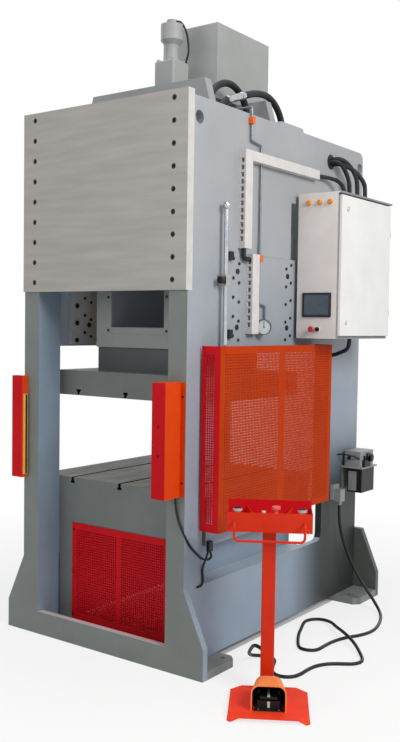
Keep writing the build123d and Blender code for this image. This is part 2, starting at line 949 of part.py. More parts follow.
with BuildPart() as gauge_needle:
    with BuildSketch(gauge_plane.offset(needle_lift - gauge_face_drop)):
        Circle(needle_hub_radius)
        with Locations((0, needle_length / 2)):
            Rectangle(needle_width, needle_length)
    extrude(amount=needle_thickness)
    with BuildSketch(gauge_plane.offset(slide_gap - gauge_face_drop)):
        Circle(needle_width / 2)
    extrude(amount=needle_lift - slide_gap)
save(gauge_needle, "gauge_needle")

# Slotted cable ducts on the right side plate
with BuildPart() as cable_ducts:
    upper_back = duct_upper_front + duct_width
    run_bottom = duct_upper_top - duct_run_height
    with BuildSketch(facing_right(half)):
        patch(back(duct_upper_front), back(upper_back), duct_upper_bottom, duct_upper_top)
        patch(back(upper_back), back(duct_run_end), run_bottom, duct_upper_top)
        patch(back(duct_lower_front), back(duct_lower_front + duct_width),
              duct_lower_bottom, duct_lower_top)
    extrude(amount=duct_depth)
    for duct_front, low, high in ((duct_upper_front, duct_upper_bottom, duct_upper_top),
                                  (duct_lower_front, duct_lower_bottom, duct_lower_top)):
        slot_count = int((high - low - duct_slot_pitch) // duct_slot_pitch)
        for index in range(slot_count):
            slot_low = low + (index + 1) * duct_slot_pitch
            block((half + (duct_depth - duct_slot_depth) / 2, back(duct_front) - cut_over, slot_low),
                  (half + (duct_depth + duct_slot_depth) / 2, back(duct_front) + duct_slot_cut,
                   slot_low + duct_slot_height), Mode.SUBTRACT)
    rod((pipe_x, back(pipe_middle), run_bottom - cut_over),
        (pipe_x, back(pipe_middle), duct_upper_top + cut_over), pipe_radius + fit_gap, Mode.SUBTRACT)
save(cable_ducts, "cable_ducts")

# Conduits between the ducts, the side plate and the cabinet
cabinet_x = half + cabinet_gap
cabinet_face = cabinet_x + cabinet_depth
duct_mid_x = half + duct_depth / 2
conduit_bend = 40
cabinet_back = cabinet_front + cabinet_width
with BuildPart() as conduits:
    link_y = back(duct_upper_front + duct_width / 3)
    link_z = duct_upper_bottom - conduit_bend * 2
    tube([(duct_mid_x, link_y, duct_upper_bottom), (duct_mid_x, link_y, link_z),
          (duct_mid_x, back(duct_lower_front), link_z)], conduit_radius, conduit_bend)
    run_z = run_bottom + duct_run_height / 2
    tube([(duct_mid_x, back(duct_run_end), run_z)]
         + [(x, back(place), z) for x, place, z in run_conduit_route]
         + [(run_conduit_route[-1][0], back(run_conduit_route[-1][1]), cabinet_top)],
         conduit_radius, run_conduit_bend)
    for (start_y, start_z), (out_x, place) in zip(bundle_offsets, bundle_ends):
        hole_y = back(cable_hole_back) + start_y
        hole_z = cable_hole_height + start_z
        tube([(side_inner, hole_y, hole_z),
              (half + bundle_reach, hole_y + start_rise, hole_z + start_rise),
              ((half + bundle_reach + out_x) / 2, back(place) - bundle_reach, hole_z - bundle_fall),
              (out_x, back(place), hole_z - bundle_drop),
              (out_x, back(place), cabinet_top)],
             bundle_radius, bundle_bend)
    low_x = cabinet_x + cabinet_depth * low_conduit_share
    low_z = cabinet_bottom - conduit_bend * 2
    tube([(low_x, back(low_conduit_front), cabinet_bottom),
          (low_x, back(low_conduit_front), low_z),
          (half + conduit_bend * 2, back(low_conduit_back), low_z - conduit_bend * 2),
          (half, back(low_conduit_back), low_z - conduit_bend * 2)],
         conduit_radius, conduit_bend)
save(conduits, "conduits")

# Control cabinet on four stand-offs: shell, mounting plate and hinge leaves
cabinet_ys = (back(cabinet_front), back(cabinet_back))
door_front_y = cabinet_ys[0] + door_edge_gap
door_back_y = cabinet_ys[1] - door_side_gap
door_low = cabinet_bottom + door_edge_gap
door_high = cabinet_top - door_edge_gap
hinge_x = cabinet_face + hinge_radius
hinge_y = door_back_y + hinge_radius
hinge_bottoms = (door_low + hinge_inset, door_high - hinge_inset - hinge_length)
control_face = facing_front(cabinet_front)
with BuildPart() as cabinet_body:
    block((cabinet_x, cabinet_ys[0], cabinet_bottom), (cabinet_face, cabinet_ys[1], cabinet_top))
    block((cabinet_x + cabinet_wall, cabinet_ys[0] + cabinet_wall, cabinet_bottom + cabinet_wall),
          (cabinet_face - cabinet_wall, cabinet_ys[1] - cabinet_wall, cabinet_top - cabinet_wall),
          Mode.SUBTRACT)
    block((cabinet_face - cut_over, cabinet_ys[0] + cabinet_lip, cabinet_bottom + cabinet_lip),
          (cabinet_face + cut_over, cabinet_ys[1] - cabinet_lip, cabinet_top - cabinet_lip),
          Mode.SUBTRACT)
    with BuildSketch(control_face):
        with Locations((stop_x, stop_height)):
            Circle(stop_neck_radius + control_gap)
        with Locations((selector_x, stop_height)):
            Circle(stop_neck_radius + control_gap)
    extrude(amount=-cut_over, mode=Mode.SUBTRACT)
    for y in (cabinet_ys[0] + mount_side, cabinet_ys[1] - mount_side * 2):
        for z in (cabinet_bottom, cabinet_top - mount_side):
            block((half, y, z), (cabinet_x, y + mount_side, z + mount_side))
    block((cabinet_face, cabinet_ys[0], cabinet_top - rain_strip_height / 2),
          (cabinet_face + rain_strip_depth, cabinet_ys[1], cabinet_top))
    for z in hinge_bottoms:
        block((cabinet_face - cabinet_lip, cabinet_ys[1] - cabinet_wall, z),
              (hinge_x, cabinet_ys[1] + cabinet_wall, z + hinge_length / 2))
        rod((hinge_x, hinge_y, z), (hinge_x, hinge_y, z + hinge_length / 2), hinge_radius)
    block((cabinet_x + cabinet_wall, cabinet_ys[0] + cabinet_lip, cabinet_bottom + cabinet_lip),
          (cabinet_x + cabinet_wall * 2, cabinet_ys[1] - cabinet_lip, cabinet_top - cabinet_lip))
save(cabinet_body, "cabinet_body")

lock_places = ((door_front_y + lock_inset, door_low + lock_drop),
               (door_front_y + lock_inset, door_high - lock_drop))
with BuildPart() as cabinet_door:
    door_in = cabinet_face + panel_gap
    door_out = cabinet_face + panel_gap + door_sheet
    block((door_in, door_front_y, door_low), (door_out, door_back_y, door_high))
    edges_out = cabinet_door.faces().sort_by(Axis.X)[-1].edges()
    fillet(edges_out, cabinet_wall)
    block((door_in, door_front_y + cabinet_wall, door_low + cabinet_wall),
          (door_out - cabinet_wall, door_back_y - cabinet_wall, door_high - cabinet_wall),
          Mode.SUBTRACT)
    with BuildSketch(facing_right(door_in)):
        with Locations(*lock_places):
            Circle(lock_stem_radius + control_gap)
    extrude(amount=door_sheet * 2, mode=Mode.SUBTRACT)
    for z in hinge_bottoms:
        low_z = z + hinge_length / 2 + fit_gap
        block((hinge_x - cabinet_wall, door_back_y - cabinet_wall, low_z),
              (hinge_x + cabinet_wall, hinge_y, z + hinge_length))
        rod((hinge_x, hinge_y, low_z), (hinge_x, hinge_y, z + hinge_length), hinge_radius)
save(cabinet_door, "cabinet_door")

# Quarter-turn locks of the cabinet door
for (lock_y, lock_z), lock_name in zip(lock_places, ("lock_bottom", "lock_top")):
    with BuildPart() as lock:
        rod((door_in + cabinet_wall, lock_y, lock_z), (door_out, lock_y, lock_z), lock_stem_radius)
        rod((door_out + control_gap, lock_y, lock_z), (door_out + lock_height, lock_y, lock_z),
            lock_radius)
        rod((door_out, lock_y, lock_z), (door_out + control_gap, lock_y, lock_z), lock_stem_radius)
        block((door_out + lock_height, lock_y - lock_bar_width / 2, lock_z - lock_radius),
              (door_out + lock_height + lock_bar_width, lock_y + lock_bar_width / 2,
               lock_z + lock_radius))
    save(lock, lock_name)

# Operator screen, pilot lamps and button collars on the cabinet front
with BuildPart() as operator_screen:
    with BuildSketch(control_face):
        with Locations((screen_left + screen_width / 2, screen_bottom + screen_height / 2)):
            RectangleRounded(screen_width, screen_height, screen_border / 2)
    extrude(amount=screen_depth)
    with BuildSketch(facing_front(cabinet_front - screen_depth)):
        with Locations((screen_left + screen_width / 2, screen_bottom + screen_height / 2)):
            Rectangle(screen_width - screen_border * 2, screen_height - screen_border * 2)
    extrude(amount=-screen_recess, mode=Mode.SUBTRACT)
save(operator_screen, "operator_screen")

with BuildPart() as pilot_lamps:
    with BuildSketch(control_face):
        with Locations(*[(x, lamp_height) for x in lamp_places]):
            Circle(lamp_radius + panel_gap)
    extrude(amount=collar_height)
    with BuildSketch(facing_front(cabinet_front - collar_height)):
        with Locations(*[(x, lamp_height) for x in lamp_places]):
            Circle(lamp_radius)
    extrude(amount=lamp_reach - collar_height)
    fillet(pilot_lamps.faces().group_by(Axis.Y)[0].edges(), cabinet_wall)
save(pilot_lamps, "pilot_lamps")

with BuildPart() as cabinet_stop:
    stop_front = cabinet_ys[0] - stop_reach
    rod((stop_x, cabinet_ys[0] + cabinet_wall, stop_height), (stop_x, stop_front, stop_height),
        stop_neck_radius)
    rod((stop_x, stop_front + stop_head, stop_height), (stop_x, stop_front, stop_height),
        stop_radius)
    fillet(cabinet_stop.faces().sort_by(Axis.Y)[0].edges(), stop_head / 3)
save(cabinet_stop, "cabinet_stop")

with BuildPart() as cabinet_selector:
    knob_back = cabinet_ys[0] - collar_height - control_gap
    rod((selector_x, cabinet_ys[0] + cabinet_wall, stop_height), (selector_x, knob_back, stop_height),
        stop_neck_radius)
    rod((selector_x, knob_back, stop_height),
        (selector_x, knob_back - selector_reach / 2, stop_height), selector_radius)
    block((selector_x - selector_bar / 2, knob_back - selector_reach, stop_height - selector_radius),
          (selector_x + selector_bar / 2, knob_back - selector_reach / 2,
           stop_height + selector_radius))
save(cabinet_selector, "cabinet_selector")

# Sliding side guard: perforated face with two wings, hung on a chrome rod
guard_inner = half + guard_stand_off
guard_ys = (back(guard_front), back(guard_back))
with BuildPart() as side_guard:
    with BuildSketch(facing_right(guard_face - guard_sheet)):
        patch(*guard_ys, guard_bottom, guard_top)
        for low_y, high_y in ((guard_front + guard_margin, guard_bar_front),
                              (guard_bar_back, guard_back - guard_margin)):
            gap_grid(back(low_y), back(high_y), guard_bottom + guard_margin,
                     guard_top - guard_margin, guard_columns, guard_rows, guard_web)
    extrude(amount=guard_sheet)
    for low_y in (guard_ys[0], guard_ys[1] - guard_sheet):
        block((guard_inner, low_y, guard_bottom), (guard_face, low_y + guard_sheet, guard_top))
    block((guard_rod_x - guard_bracket / 2, back(guard_rod_y) - guard_bracket / 2,
           guard_top - guard_bracket * 2),
          (guard_face - guard_sheet, back(guard_rod_y) + guard_bracket / 2,
           guard_top - guard_bracket))
save(side_guard, "side_guard")

with BuildPart() as guard_rod:
    rod_foot = guard_top - guard_bracket
    rod((guard_rod_x, back(guard_rod_y), rod_foot), (guard_rod_x, back(guard_rod_y), guard_rod_top),
        guard_rod_radius)
    with Locations((guard_rod_x, back(guard_rod_y), guard_rod_top)):
        Sphere(guard_ball_radius)
save(guard_rod, "guard_rod")

# Clamp collar for the guard rod, with its knob, and two rubber stops
collar_low = collar_height_middle - collar_tall / 2
with BuildPart() as rod_clamp:
    block((half, back(guard_rod_y) - collar_side / 2, collar_low),
          (guard_rod_x + collar_side / 2, back(guard_rod_y) + collar_side / 2,
           collar_low + collar_tall))
    chamfer(rod_clamp.edges().filter_by(Axis.Z), cabinet_wall)
    rod((guard_rod_x, back(guard_rod_y), collar_low - cut_over),
        (guard_rod_x, back(guard_rod_y), collar_low + collar_tall + cut_over),
        guard_rod_radius + collar_gap, Mode.SUBTRACT)
    rod((guard_rod_x, back(guard_rod_y), collar_height_middle),
        (guard_rod_x, back(guard_rod_y) - collar_side, collar_height_middle),
        knob_stem_radius + slide_gap, Mode.SUBTRACT)
save(rod_clamp, "rod_clamp")

with BuildPart() as clamp_knob:
    knob_tip = back(guard_rod_y) - guard_rod_radius - collar_gap * 2
    knob_face = back(guard_rod_y) - collar_side / 2 - knob_stem_length / 2
    rod((guard_rod_x, knob_tip, collar_height_middle), (guard_rod_x, knob_face, collar_height_middle),
        knob_stem_radius)
    rod((guard_rod_x, knob_face, collar_height_middle),
        (guard_rod_x, knob_face - knob_length, collar_height_middle), knob_radius)
    fillet(clamp_knob.faces().sort_by(Axis.Y)[0].edges(), knob_stem_radius)
save(clamp_knob, "clamp_knob")

with BuildPart() as rubber_stops:
    with BuildSketch(facing_right(half)):
        with Locations(*[(back(stop_block_front), z) for z in stop_block_heights]):
            RectangleRounded(stop_block_side, stop_block_tall, knob_stem_radius)
    extrude(amount=stop_block_depth)
save(rubber_stops, "rubber_stops")

# Light curtain housings on both legs of the front portal
left_curtain_end = left_curtain_x + left_curtain_width
right_curtain_end = right_curtain_x + right_curtain_width
with BuildPart() as curtain_housings:
    for low_x, high_x, depth, low_z in (
            (left_curtain_x, left_curtain_end, left_curtain_depth, left_curtain_bottom),
            (right_curtain_x, right_curtain_end, right_curtain_depth, right_curtain_bottom)):
        block((low_x, back(-depth), low_z), (high_x, front, low_z + curtain_height))
        block((low_x + curtain_sheet, back(-depth) + curtain_sheet, low_z + curtain_sheet),
              (high_x - curtain_sheet, front + cut_over, low_z + curtain_height - curtain_sheet),
              Mode.SUBTRACT)
    block((right_curtain_end - curtain_sheet, front - curtain_sheet, right_curtain_bottom),
          (right_curtain_end + curtain_flange, front, right_curtain_bottom + curtain_height))
save(curtain_housings, "curtain_housings")

with BuildPart() as curtain_bars:
    bar_low = left_curtain_bottom + curtain_bar_inset / 3
    bar_high = left_curtain_bottom + curtain_height - curtain_bar_inset * 2
    for low_x in (left_curtain_end, right_curtain_x - curtain_bar_proud):
        block((low_x, back(-left_curtain_depth) + curtain_sheet * 3, bar_low),
              (low_x + curtain_bar_proud, back(-left_curtain_depth) + curtain_sheet * 3
               + curtain_bar_depth, bar_high))
save(curtain_bars, "curtain_bars")

# Round screw heads of the mesh door and the right light curtain
with BuildPart() as panel_screws:
    door_rows_z = (door_bottom + door_bar, (door_bottom + door_top) / 2, door_top - door_bar)
    with BuildSketch(facing_front(base_front - door_thickness)):
        with Locations(*[(side * (door_half - door_screw_inset), z)
                         for side in (-1, 1) for z in door_rows_z]):
            Circle(panel_screw_radius)
    extrude(amount=panel_screw_height)
    screw_rows = [right_curtain_bottom + curtain_height * (row + 0.5) / 4 for row in range(4)]
    for face_y, x in ((-right_curtain_depth, (right_curtain_x + right_curtain_end) / 2),
                      (-curtain_sheet, right_curtain_end + curtain_flange / 2)):
        with BuildSketch(facing_front(face_y)):
            with Locations(*[(x, z) for z in screw_rows]):
                Circle(panel_screw_radius)
        extrude(amount=panel_screw_height)
save(panel_screws, "panel_screws")

curtain_cable_x = half + curtain_cable_radius
curtain_cable_bend = 22
curtain_cable_route = [(-30, 1062), (-30, 930)]
curtain_cable_side = [(-16, 806), (86, 738), (174, 666), (192, 590), (150, 530), (112, 512)]
# Thin cables of the pilot valve and of the right light curtain
valve_cable_drop = valve_half - valve_chamfer - valve_cable_radius
with BuildPart() as control_cables:
    cable_out = bonnet_radius + plug_radius
    tube(
        [(plug_radius, valve_middle, (bonnet_top + plug_top) / 2),
         (cable_out, valve_middle, (bonnet_top + plug_top) / 2),
         (cable_out, valve_middle, neck_top - bonnet_radius / 2),
         (valve_cable_drop, valve_middle, neck_top - bonnet_radius),
         (valve_cable_drop, valve_middle, valve_top)],
        valve_cable_radius, plug_radius / 2,
    )
    start_x = right_curtain_end - curtain_sheet * 4
    corner_x = half + curtain_cable_radius * 2
    tube([(start_x, back(curtain_cable_route[0][0]), curtain_cable_route[0][1]),
          (start_x, back(curtain_cable_route[1][0]), curtain_cable_route[1][1])]
         + [(corner_x, back(y), z) for y, z in curtain_cable_side[:1]]
         + [(curtain_cable_x, back(y), z) for y, z in curtain_cable_side[1:]],
         curtain_cable_radius, curtain_cable_bend)
save(control_cables, "control_cables")

# Socket and plug for the stand's cord
socket_ys = (back(socket_back) - socket_width / 2, back(socket_back) + socket_width / 2)
with BuildPart() as cord_socket:
    block((half, socket_ys[0], socket_bottom),
          (half + socket_depth, socket_ys[1], socket_bottom + socket_tall))
    chamfer(cord_socket.edges().filter_by(Axis.X), cabinet_wall)
save(cord_socket, "cord_socket")

plug_x = half + socket_depth + plug_depth / 2
plug_bottom = socket_bottom - plug_drop
cord_start = plug_bottom - plug_gland_length
with BuildPart() as cord_plug:
    block((half + socket_depth, back(socket_back) - plug_width / 2, plug_bottom),
          (half + socket_depth + plug_depth, back(socket_back) + plug_width / 2,
           plug_bottom + plug_tall))
    fillet(cord_plug.edges().filter_by(Axis.Z), knob_stem_radius)
    rod((plug_x, back(socket_back), plug_bottom), (plug_x, back(socket_back), cord_start),
        plug_gland_radius)
save(cord_plug, "cord_plug")

# Lubricator at the rear of the right side: tray, cover, motor and oil pot
lube_ys = (back(lube_front), back(lube_back))
with BuildPart() as lubricator:
    block((half, lube_ys[0], lube_tray), (half + lube_reach, lube_ys[1],
                                          lube_tray + lube_tray_thickness))
    block((half, lube_ys[0], lube_tray - lube_pot_height),
          (half + lube_bracket, lube_ys[1], lube_tray))
    cover_low = lube_tray + lube_tray_thickness
    block((half + lube_box_inset, lube_ys[0] + lube_box_inset, cover_low),
          (half + lube_reach - lube_box_inset, lube_ys[1] - lube_box_inset,
           cover_low + lube_box_height))
    fillet(lubricator.edges().filter_by(Axis.Z).group_by(Axis.Z)[-1], lube_bracket)
    gauge_out = half + lube_reach - lube_box_inset
    gauge_mid = (cover_low + lube_box_height / 2)
    rod((gauge_out, (lube_ys[0] + lube_ys[1]) / 2, gauge_mid),
        (gauge_out + lube_gauge_depth, (lube_ys[0] + lube_ys[1]) / 2, gauge_mid), lube_gauge_radius)
    pot_low = lube_tray - lube_pot_height
    pot_x = half + lube_pot_offset
    block((pot_x, lube_ys[0] + lube_pot_inset, pot_low),
          (pot_x + lube_pot_reach, lube_ys[1] - lube_pot_inset, lube_tray))
save(lubricator, "lubricator")

# Two-hand stand: a base with folded corners, a post and a button box
stand_angle = math.radians(stand_turn)
stand = Plane(origin=(stand_x, back(stand_y), 0),
              x_dir=(math.cos(stand_angle), math.sin(stand_angle), 0), z_dir=(0, 0, 1))


def stand_point(x, y, z):
    """Point of the stand's own frame in the shared frame."""
    return tuple(stand.from_local_coords(Vector(x, y, z)))


def stand_front(y):
    """Upright plane of the stand facing its front."""
    return Plane(origin=stand_point(0, y, 0), x_dir=stand.x_dir, z_dir=-stand.y_dir)


def stand_block(low, high, mode=Mode.ADD):
    """Rectangular solid in the stand's own frame."""
    with BuildSketch(stand.offset(low[2]), mode=Mode.PRIVATE) as foot:
        patch(low[0], high[0], low[1], high[1])
    extrude(foot.sketch, amount=high[2] - low[2], mode=mode)


base_half = base_side / 2
base_cut = base_half - base_corner
with BuildPart() as stand_base:
    with BuildSketch(stand.offset(base_height - base_sheet)):
        Rectangle(base_side, base_side)
        chamfer(vertices(), base_corner)
    extrude(amount=base_sheet)
    flap_edge = base_corner * math.sqrt(2)
    flap_middle = (base_half + base_cut) / 2
    for side in (-1, 1):
        for end in (-1, 1):
            outward = (stand.x_dir * side + stand.y_dir * end).normalized()
            along = stand.z_dir.cross(outward)
            flap_root = Vector(*stand_point(side * flap_middle, end * flap_middle,
                                            base_height - base_sheet / 2))
            flap_tip = Vector(*stand_point(side * (base_half - base_sheet), end * (base_half - base_sheet),
                                           base_sheet / 2))
            with BuildSketch(Plane(origin=flap_root, x_dir=along, z_dir=outward)):
                Rectangle(flap_edge, base_sheet)
            with BuildSketch(Plane(origin=flap_tip, x_dir=along, z_dir=outward)):
                Rectangle(flap_edge * flap_tip_share, base_sheet)
            loft()
save(stand_base, "stand_base")

floor_z = box_bottom + box_floor_height
with BuildPart() as stand_post:
    with BuildSketch(stand.offset(base_height)):
        with Locations((post_x, post_back)):
            RectangleRounded(post_side, post_side, post_wall * 2)
            Rectangle(post_side - post_wall * 2, post_side - post_wall * 2, mode=Mode.SUBTRACT)
    extrude(amount=floor_z - box_sheet - base_height)
    post_rear = post_back + post_side / 2
    rod(stand_point(post_x, post_rear, gland_height),
        stand_point(post_x, post_rear + gland_length, gland_height), gland_radius)
save(stand_post, "stand_post")

# Button box: three wells above a floor, a taller rear wall and a bent handle in front
box_half = box_width / 2
box_left = post_x - box_half
box_right = post_x + box_half
box_front_y = post_back + post_side / 2 + box_sheet - box_depth
box_back_y = box_front_y + box_depth
box_middle_y = (box_front_y + box_back_y) / 2
side_well_x = (well_back + box_half) / 2
palm_places = ((post_x - side_well_x, box_middle_y), (post_x + side_well_x, box_middle_y))
small_places = ((small_button_x, box_middle_y), (mushroom_x, box_middle_y))
well_outlines = (
    ((box_left + box_sheet, box_front_y + box_sheet), (post_x - well_front - box_sheet, box_front_y + box_sheet),
     (post_x - well_back - box_sheet, box_back_y - box_sheet), (box_left + box_sheet, box_back_y - box_sheet)),
    ((post_x - well_front, box_front_y + box_sheet), (post_x + well_front, box_front_y + box_sheet),
     (post_x + well_back, box_back_y - box_sheet), (post_x - well_back, box_back_y - box_sheet)),
    ((box_right - box_sheet, box_front_y + box_sheet), (box_right - box_sheet, box_back_y - box_sheet),
     (post_x + well_back + box_sheet, box_back_y - box_sheet),
     (post_x + well_front + box_sheet, box_front_y + box_sheet)),
)
with BuildPart() as button_box:
    stand_block((box_left, box_front_y, box_bottom),
                (box_right, box_back_y, box_bottom + box_front_height))
    stand_block((box_left, box_back_y - box_sheet, box_bottom + box_front_height),
                (box_right, box_back_y, box_bottom + box_back_height))
    for well_outline in well_outlines:
        with BuildSketch(stand.offset(floor_z)):
            Polygon(*well_outline, align=None)
        extrude(amount=box_front_height, mode=Mode.SUBTRACT)
    stand_block((box_left + box_sheet, box_front_y + box_sheet, box_bottom - cut_over),
                (box_right - box_sheet, box_back_y - box_sheet, floor_z - box_sheet),
                Mode.SUBTRACT)
    with BuildSketch(stand.offset(floor_z - box_sheet)):
        with Locations(*palm_places):
            Circle(button_radius * stem_share + control_gap)
        with Locations(*small_places):
            Circle(small_button_radius + control_gap)
    extrude(amount=box_sheet, mode=Mode.SUBTRACT)
    handle_y = box_front_y - handle_reach
    handle_low = handle_height - handle_drop
    tube(
        [stand_point(post_x - handle_half, box_front_y, handle_height),
         stand_point(post_x - handle_half, handle_y, handle_height),
         stand_point(post_x - handle_half, handle_y, handle_low),
         stand_point(post_x + handle_half, handle_y, handle_low),
         stand_point(post_x + handle_half, handle_y, handle_height),
         stand_point(post_x + handle_half, box_front_y, handle_height)],
        handle_radius, handle_bend,
    )
save(button_box, "button_box")

# Fixed collars of the push buttons on the cabinet and on the box
with BuildPart() as button_collars:
    with BuildSketch(control_face):
        with Locations((stop_x, stop_height)):
            Circle(stop_collar_radius)
            Circle(stop_neck_radius + control_gap, mode=Mode.SUBTRACT)
        with Locations((selector_x, stop_height)):
            Circle(selector_collar_radius)
            Circle(stop_neck_radius + control_gap, mode=Mode.SUBTRACT)
    extrude(amount=collar_height)
    with BuildSketch(stand.offset(floor_z)):
        with Locations(*palm_places):
            Circle(button_collar_radius)
            Circle(button_radius * stem_share + control_gap, mode=Mode.SUBTRACT)
        with Locations(*small_places):
            Circle(small_button_radius + collar_height)
            Circle(small_button_radius + control_gap, mode=Mode.SUBTRACT)
    extrude(amount=collar_height)
save(button_collars, "button_collars")

# Push buttons: a stem through the box floor and a round head above its collar
button_rows = (
    ("palm_button_left", palm_places[0], button_radius * stem_share, button_radius, button_height),
    ("palm_button_right", palm_places[1], button_radius * stem_share, button_radius, button_height),
    ("start_button", small_places[0], small_button_radius, small_button_radius, small_button_height),
    ("stand_stop", small_places[1], small_button_radius, mushroom_radius, mushroom_height),
)
for button_name, (button_x, button_y), stem_r, head_r, tall in button_rows:
    with BuildPart() as button:
        with BuildSketch(stand.offset(floor_z - box_sheet)):
            with Locations((button_x, button_y)):
                Circle(stem_r)
        extrude(amount=tall)
        with BuildSketch(stand.offset(floor_z + tall - mushroom_head)):
            with Locations((button_x, button_y)):
                Circle(head_r)
        extrude(amount=mushroom_head)
        fillet(button.faces().sort_by(Axis.Z)[-1].edges(), cabinet_wall)
    save(button, button_name)

# Foot switch: arched hood, switch body and a hinged pedal
hood_back = hood_front + hood_length
with BuildPart() as foot_hood:
    for wall, mode in ((0, Mode.ADD), (hood_wall, Mode.SUBTRACT)):
        for hood_y, wide, tall in ((hood_front, hood_width, hood_height),
                                   (hood_back - wall, hood_back_width, hood_back_height)):
            with BuildSketch(stand_front(hood_y)):
                with Locations((0, base_height + (tall - wall) / 2)):
                    Rectangle(wide - wall * 2, tall - wall)
                fillet(vertices().group_by(Axis.Y)[-1], hood_shoulder - wall)
        loft(mode=mode)
save(foot_hood, "foot_hood")

switch_back = hood_back - hood_wall
switch_front = switch_back - switch_length
switch_top = base_height + switch_height
pedal_z = switch_top + pedal_lift
pin_y = switch_back - switch_length / 3
with BuildPart() as foot_switch:
    stand_block((-switch_width / 2, switch_front, base_height),
                (switch_width / 2, switch_back, switch_top))
    for side in (-1, 1):
        low_x, high_x = sorted((side * (pedal_width / 2 + panel_gap), side * switch_width / 2))
        stand_block((low_x, pin_y - pin_radius * 2, switch_top),
                    (high_x, pin_y + pin_radius * 2, pedal_z + pedal_thickness))
    rod(stand_point(-switch_width, pin_y, pedal_z + pedal_thickness / 2),
        stand_point(switch_width, pin_y, pedal_z + pedal_thickness / 2),
        pin_radius + slide_gap, Mode.SUBTRACT)
save(foot_switch, "foot_switch")

with BuildPart() as foot_pedal:
    stand_block((-pedal_width / 2, pin_y + pin_radius * 2 - pedal_length, pedal_z),
                (pedal_width / 2, pin_y + pin_radius * 2, pedal_z + pedal_thickness))
    stand_block((-pedal_strip / 2, pin_y + pin_radius * 2 - pedal_length, pedal_z + pedal_thickness),
                (pedal_strip / 2, pin_y + pin_radius * 2, pedal_z + pedal_thickness + pedal_strip_height))
    rod(stand_point(-switch_width / 2, pin_y, pedal_z + pedal_thickness / 2),
        stand_point(switch_width / 2, pin_y, pedal_z + pedal_thickness / 2), pin_radius)
save(foot_pedal, "foot_pedal")

# Cord from the plug along the floor to the gland on the stand's post
gland_end = stand_point(post_x, post_rear + gland_length, gland_height)
gland_lead = stand_point(post_x, post_rear + gland_lead_length, gland_height)
cord_points = [(plug_x, back(socket_back), cord_start),
               (plug_x, back(socket_back), cord_start - cord_first_run)]
cord_points += [(x, back(y), z) for x, y, z in cord_route]
cord_points += [gland_lead, gland_end]
cord_bends = []
cord_vectors = [Vector(*point) for point in cord_points]
for before, here, after in zip(cord_vectors, cord_vectors[1:], cord_vectors[2:]):
    run_in = here - before
    run_out = after - here
    turn = math.radians(run_in.get_angle(run_out))
    shorter = min(run_in.length, run_out.length)
    cord_bends.append(cord_bend_share * shorter / math.tan(turn / 2))
cord_runs = [(b - a).length for a, b in zip(cord_vectors, cord_vectors[1:])]
print("cord radii:", [round(radius) for radius in cord_bends])
print("cord runs:", [round(run) for run in cord_runs], "length:", round(sum(cord_runs)))
with BuildPart() as stand_cord:
    tube(cord_points, cord_radius, cord_bends)
save(stand_cord, "stand_cord")
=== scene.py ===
import bpy
import math
from mathutils import Matrix, Vector


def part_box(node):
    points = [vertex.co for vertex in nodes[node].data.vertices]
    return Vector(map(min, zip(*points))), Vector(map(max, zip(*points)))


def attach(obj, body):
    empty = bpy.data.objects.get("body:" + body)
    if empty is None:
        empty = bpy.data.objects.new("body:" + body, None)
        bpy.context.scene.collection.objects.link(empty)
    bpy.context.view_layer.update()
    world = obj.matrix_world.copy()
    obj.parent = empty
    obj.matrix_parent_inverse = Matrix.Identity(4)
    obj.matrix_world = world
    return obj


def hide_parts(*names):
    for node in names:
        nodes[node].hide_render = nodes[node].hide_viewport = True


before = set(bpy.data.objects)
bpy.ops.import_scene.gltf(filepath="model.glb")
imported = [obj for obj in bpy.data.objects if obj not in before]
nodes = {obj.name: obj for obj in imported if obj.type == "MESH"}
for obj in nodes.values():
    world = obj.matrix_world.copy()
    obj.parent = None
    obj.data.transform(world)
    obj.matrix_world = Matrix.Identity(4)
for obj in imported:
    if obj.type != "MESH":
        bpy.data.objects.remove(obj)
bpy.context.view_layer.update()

FRONT = -1.130                      # Y of the frame's front face
STAND_TURN = math.radians(31.5)     # the two-hand stand's turn about the vertical


def deep(mm):
    """Y coordinate of a place measured back from the frame's front face, in millimetres."""
    return FRONT + mm / 1000


def stand_at(across, back, height):
    """Point on the two-hand stand, from its own middle and turned with it, in metres."""
    return Vector((1.300 + across * math.cos(STAND_TURN) - back * math.sin(STAND_TURN),
                   deep(-45) + across * math.sin(STAND_TURN) + back * math.cos(STAND_TURN), height))


# materials

def linear(code):
    """sRGB hex to linear colour."""
    parts = [int(code[i:i + 2], 16) / 255 for i in (1, 3, 5)]
    return tuple(c / 12.92 if c <= 0.04045 else ((c + 0.055) / 1.055) ** 2.4 for c in parts) + (1.0,)


def add(tree, kind, settings=None, links=None):
    """Add a node with its settings and its incoming links."""
    made = tree.nodes.new(kind)
    for key, value in (settings or {}).items():
        if isinstance(key, str) and hasattr(made, key):
            setattr(made, key, value)
        else:
            made.inputs[key].default_value = value
    for key, (source, output) in (links or {}).items():
        tree.links.new(source.outputs[output], made.inputs[key])
    return made


COATING_IOR = 1.5                   # paints, plastics and rubber
TONE_LOW, TONE_HIGH = 0.3, 0.7      # noise values at which the darker and the lighter tone are reached
PEEL_SCALE, PEEL_DEPTH = 110.0, 0.00025     # ripples of about 9 mm, coarser than real orange peel, to show
REAR_START, REAR_FULL = deep(1180), deep(1700)      # where a coat begins to darken and has its low rear tone
LOW_START, LOW_FULL = 1.45, 0.75


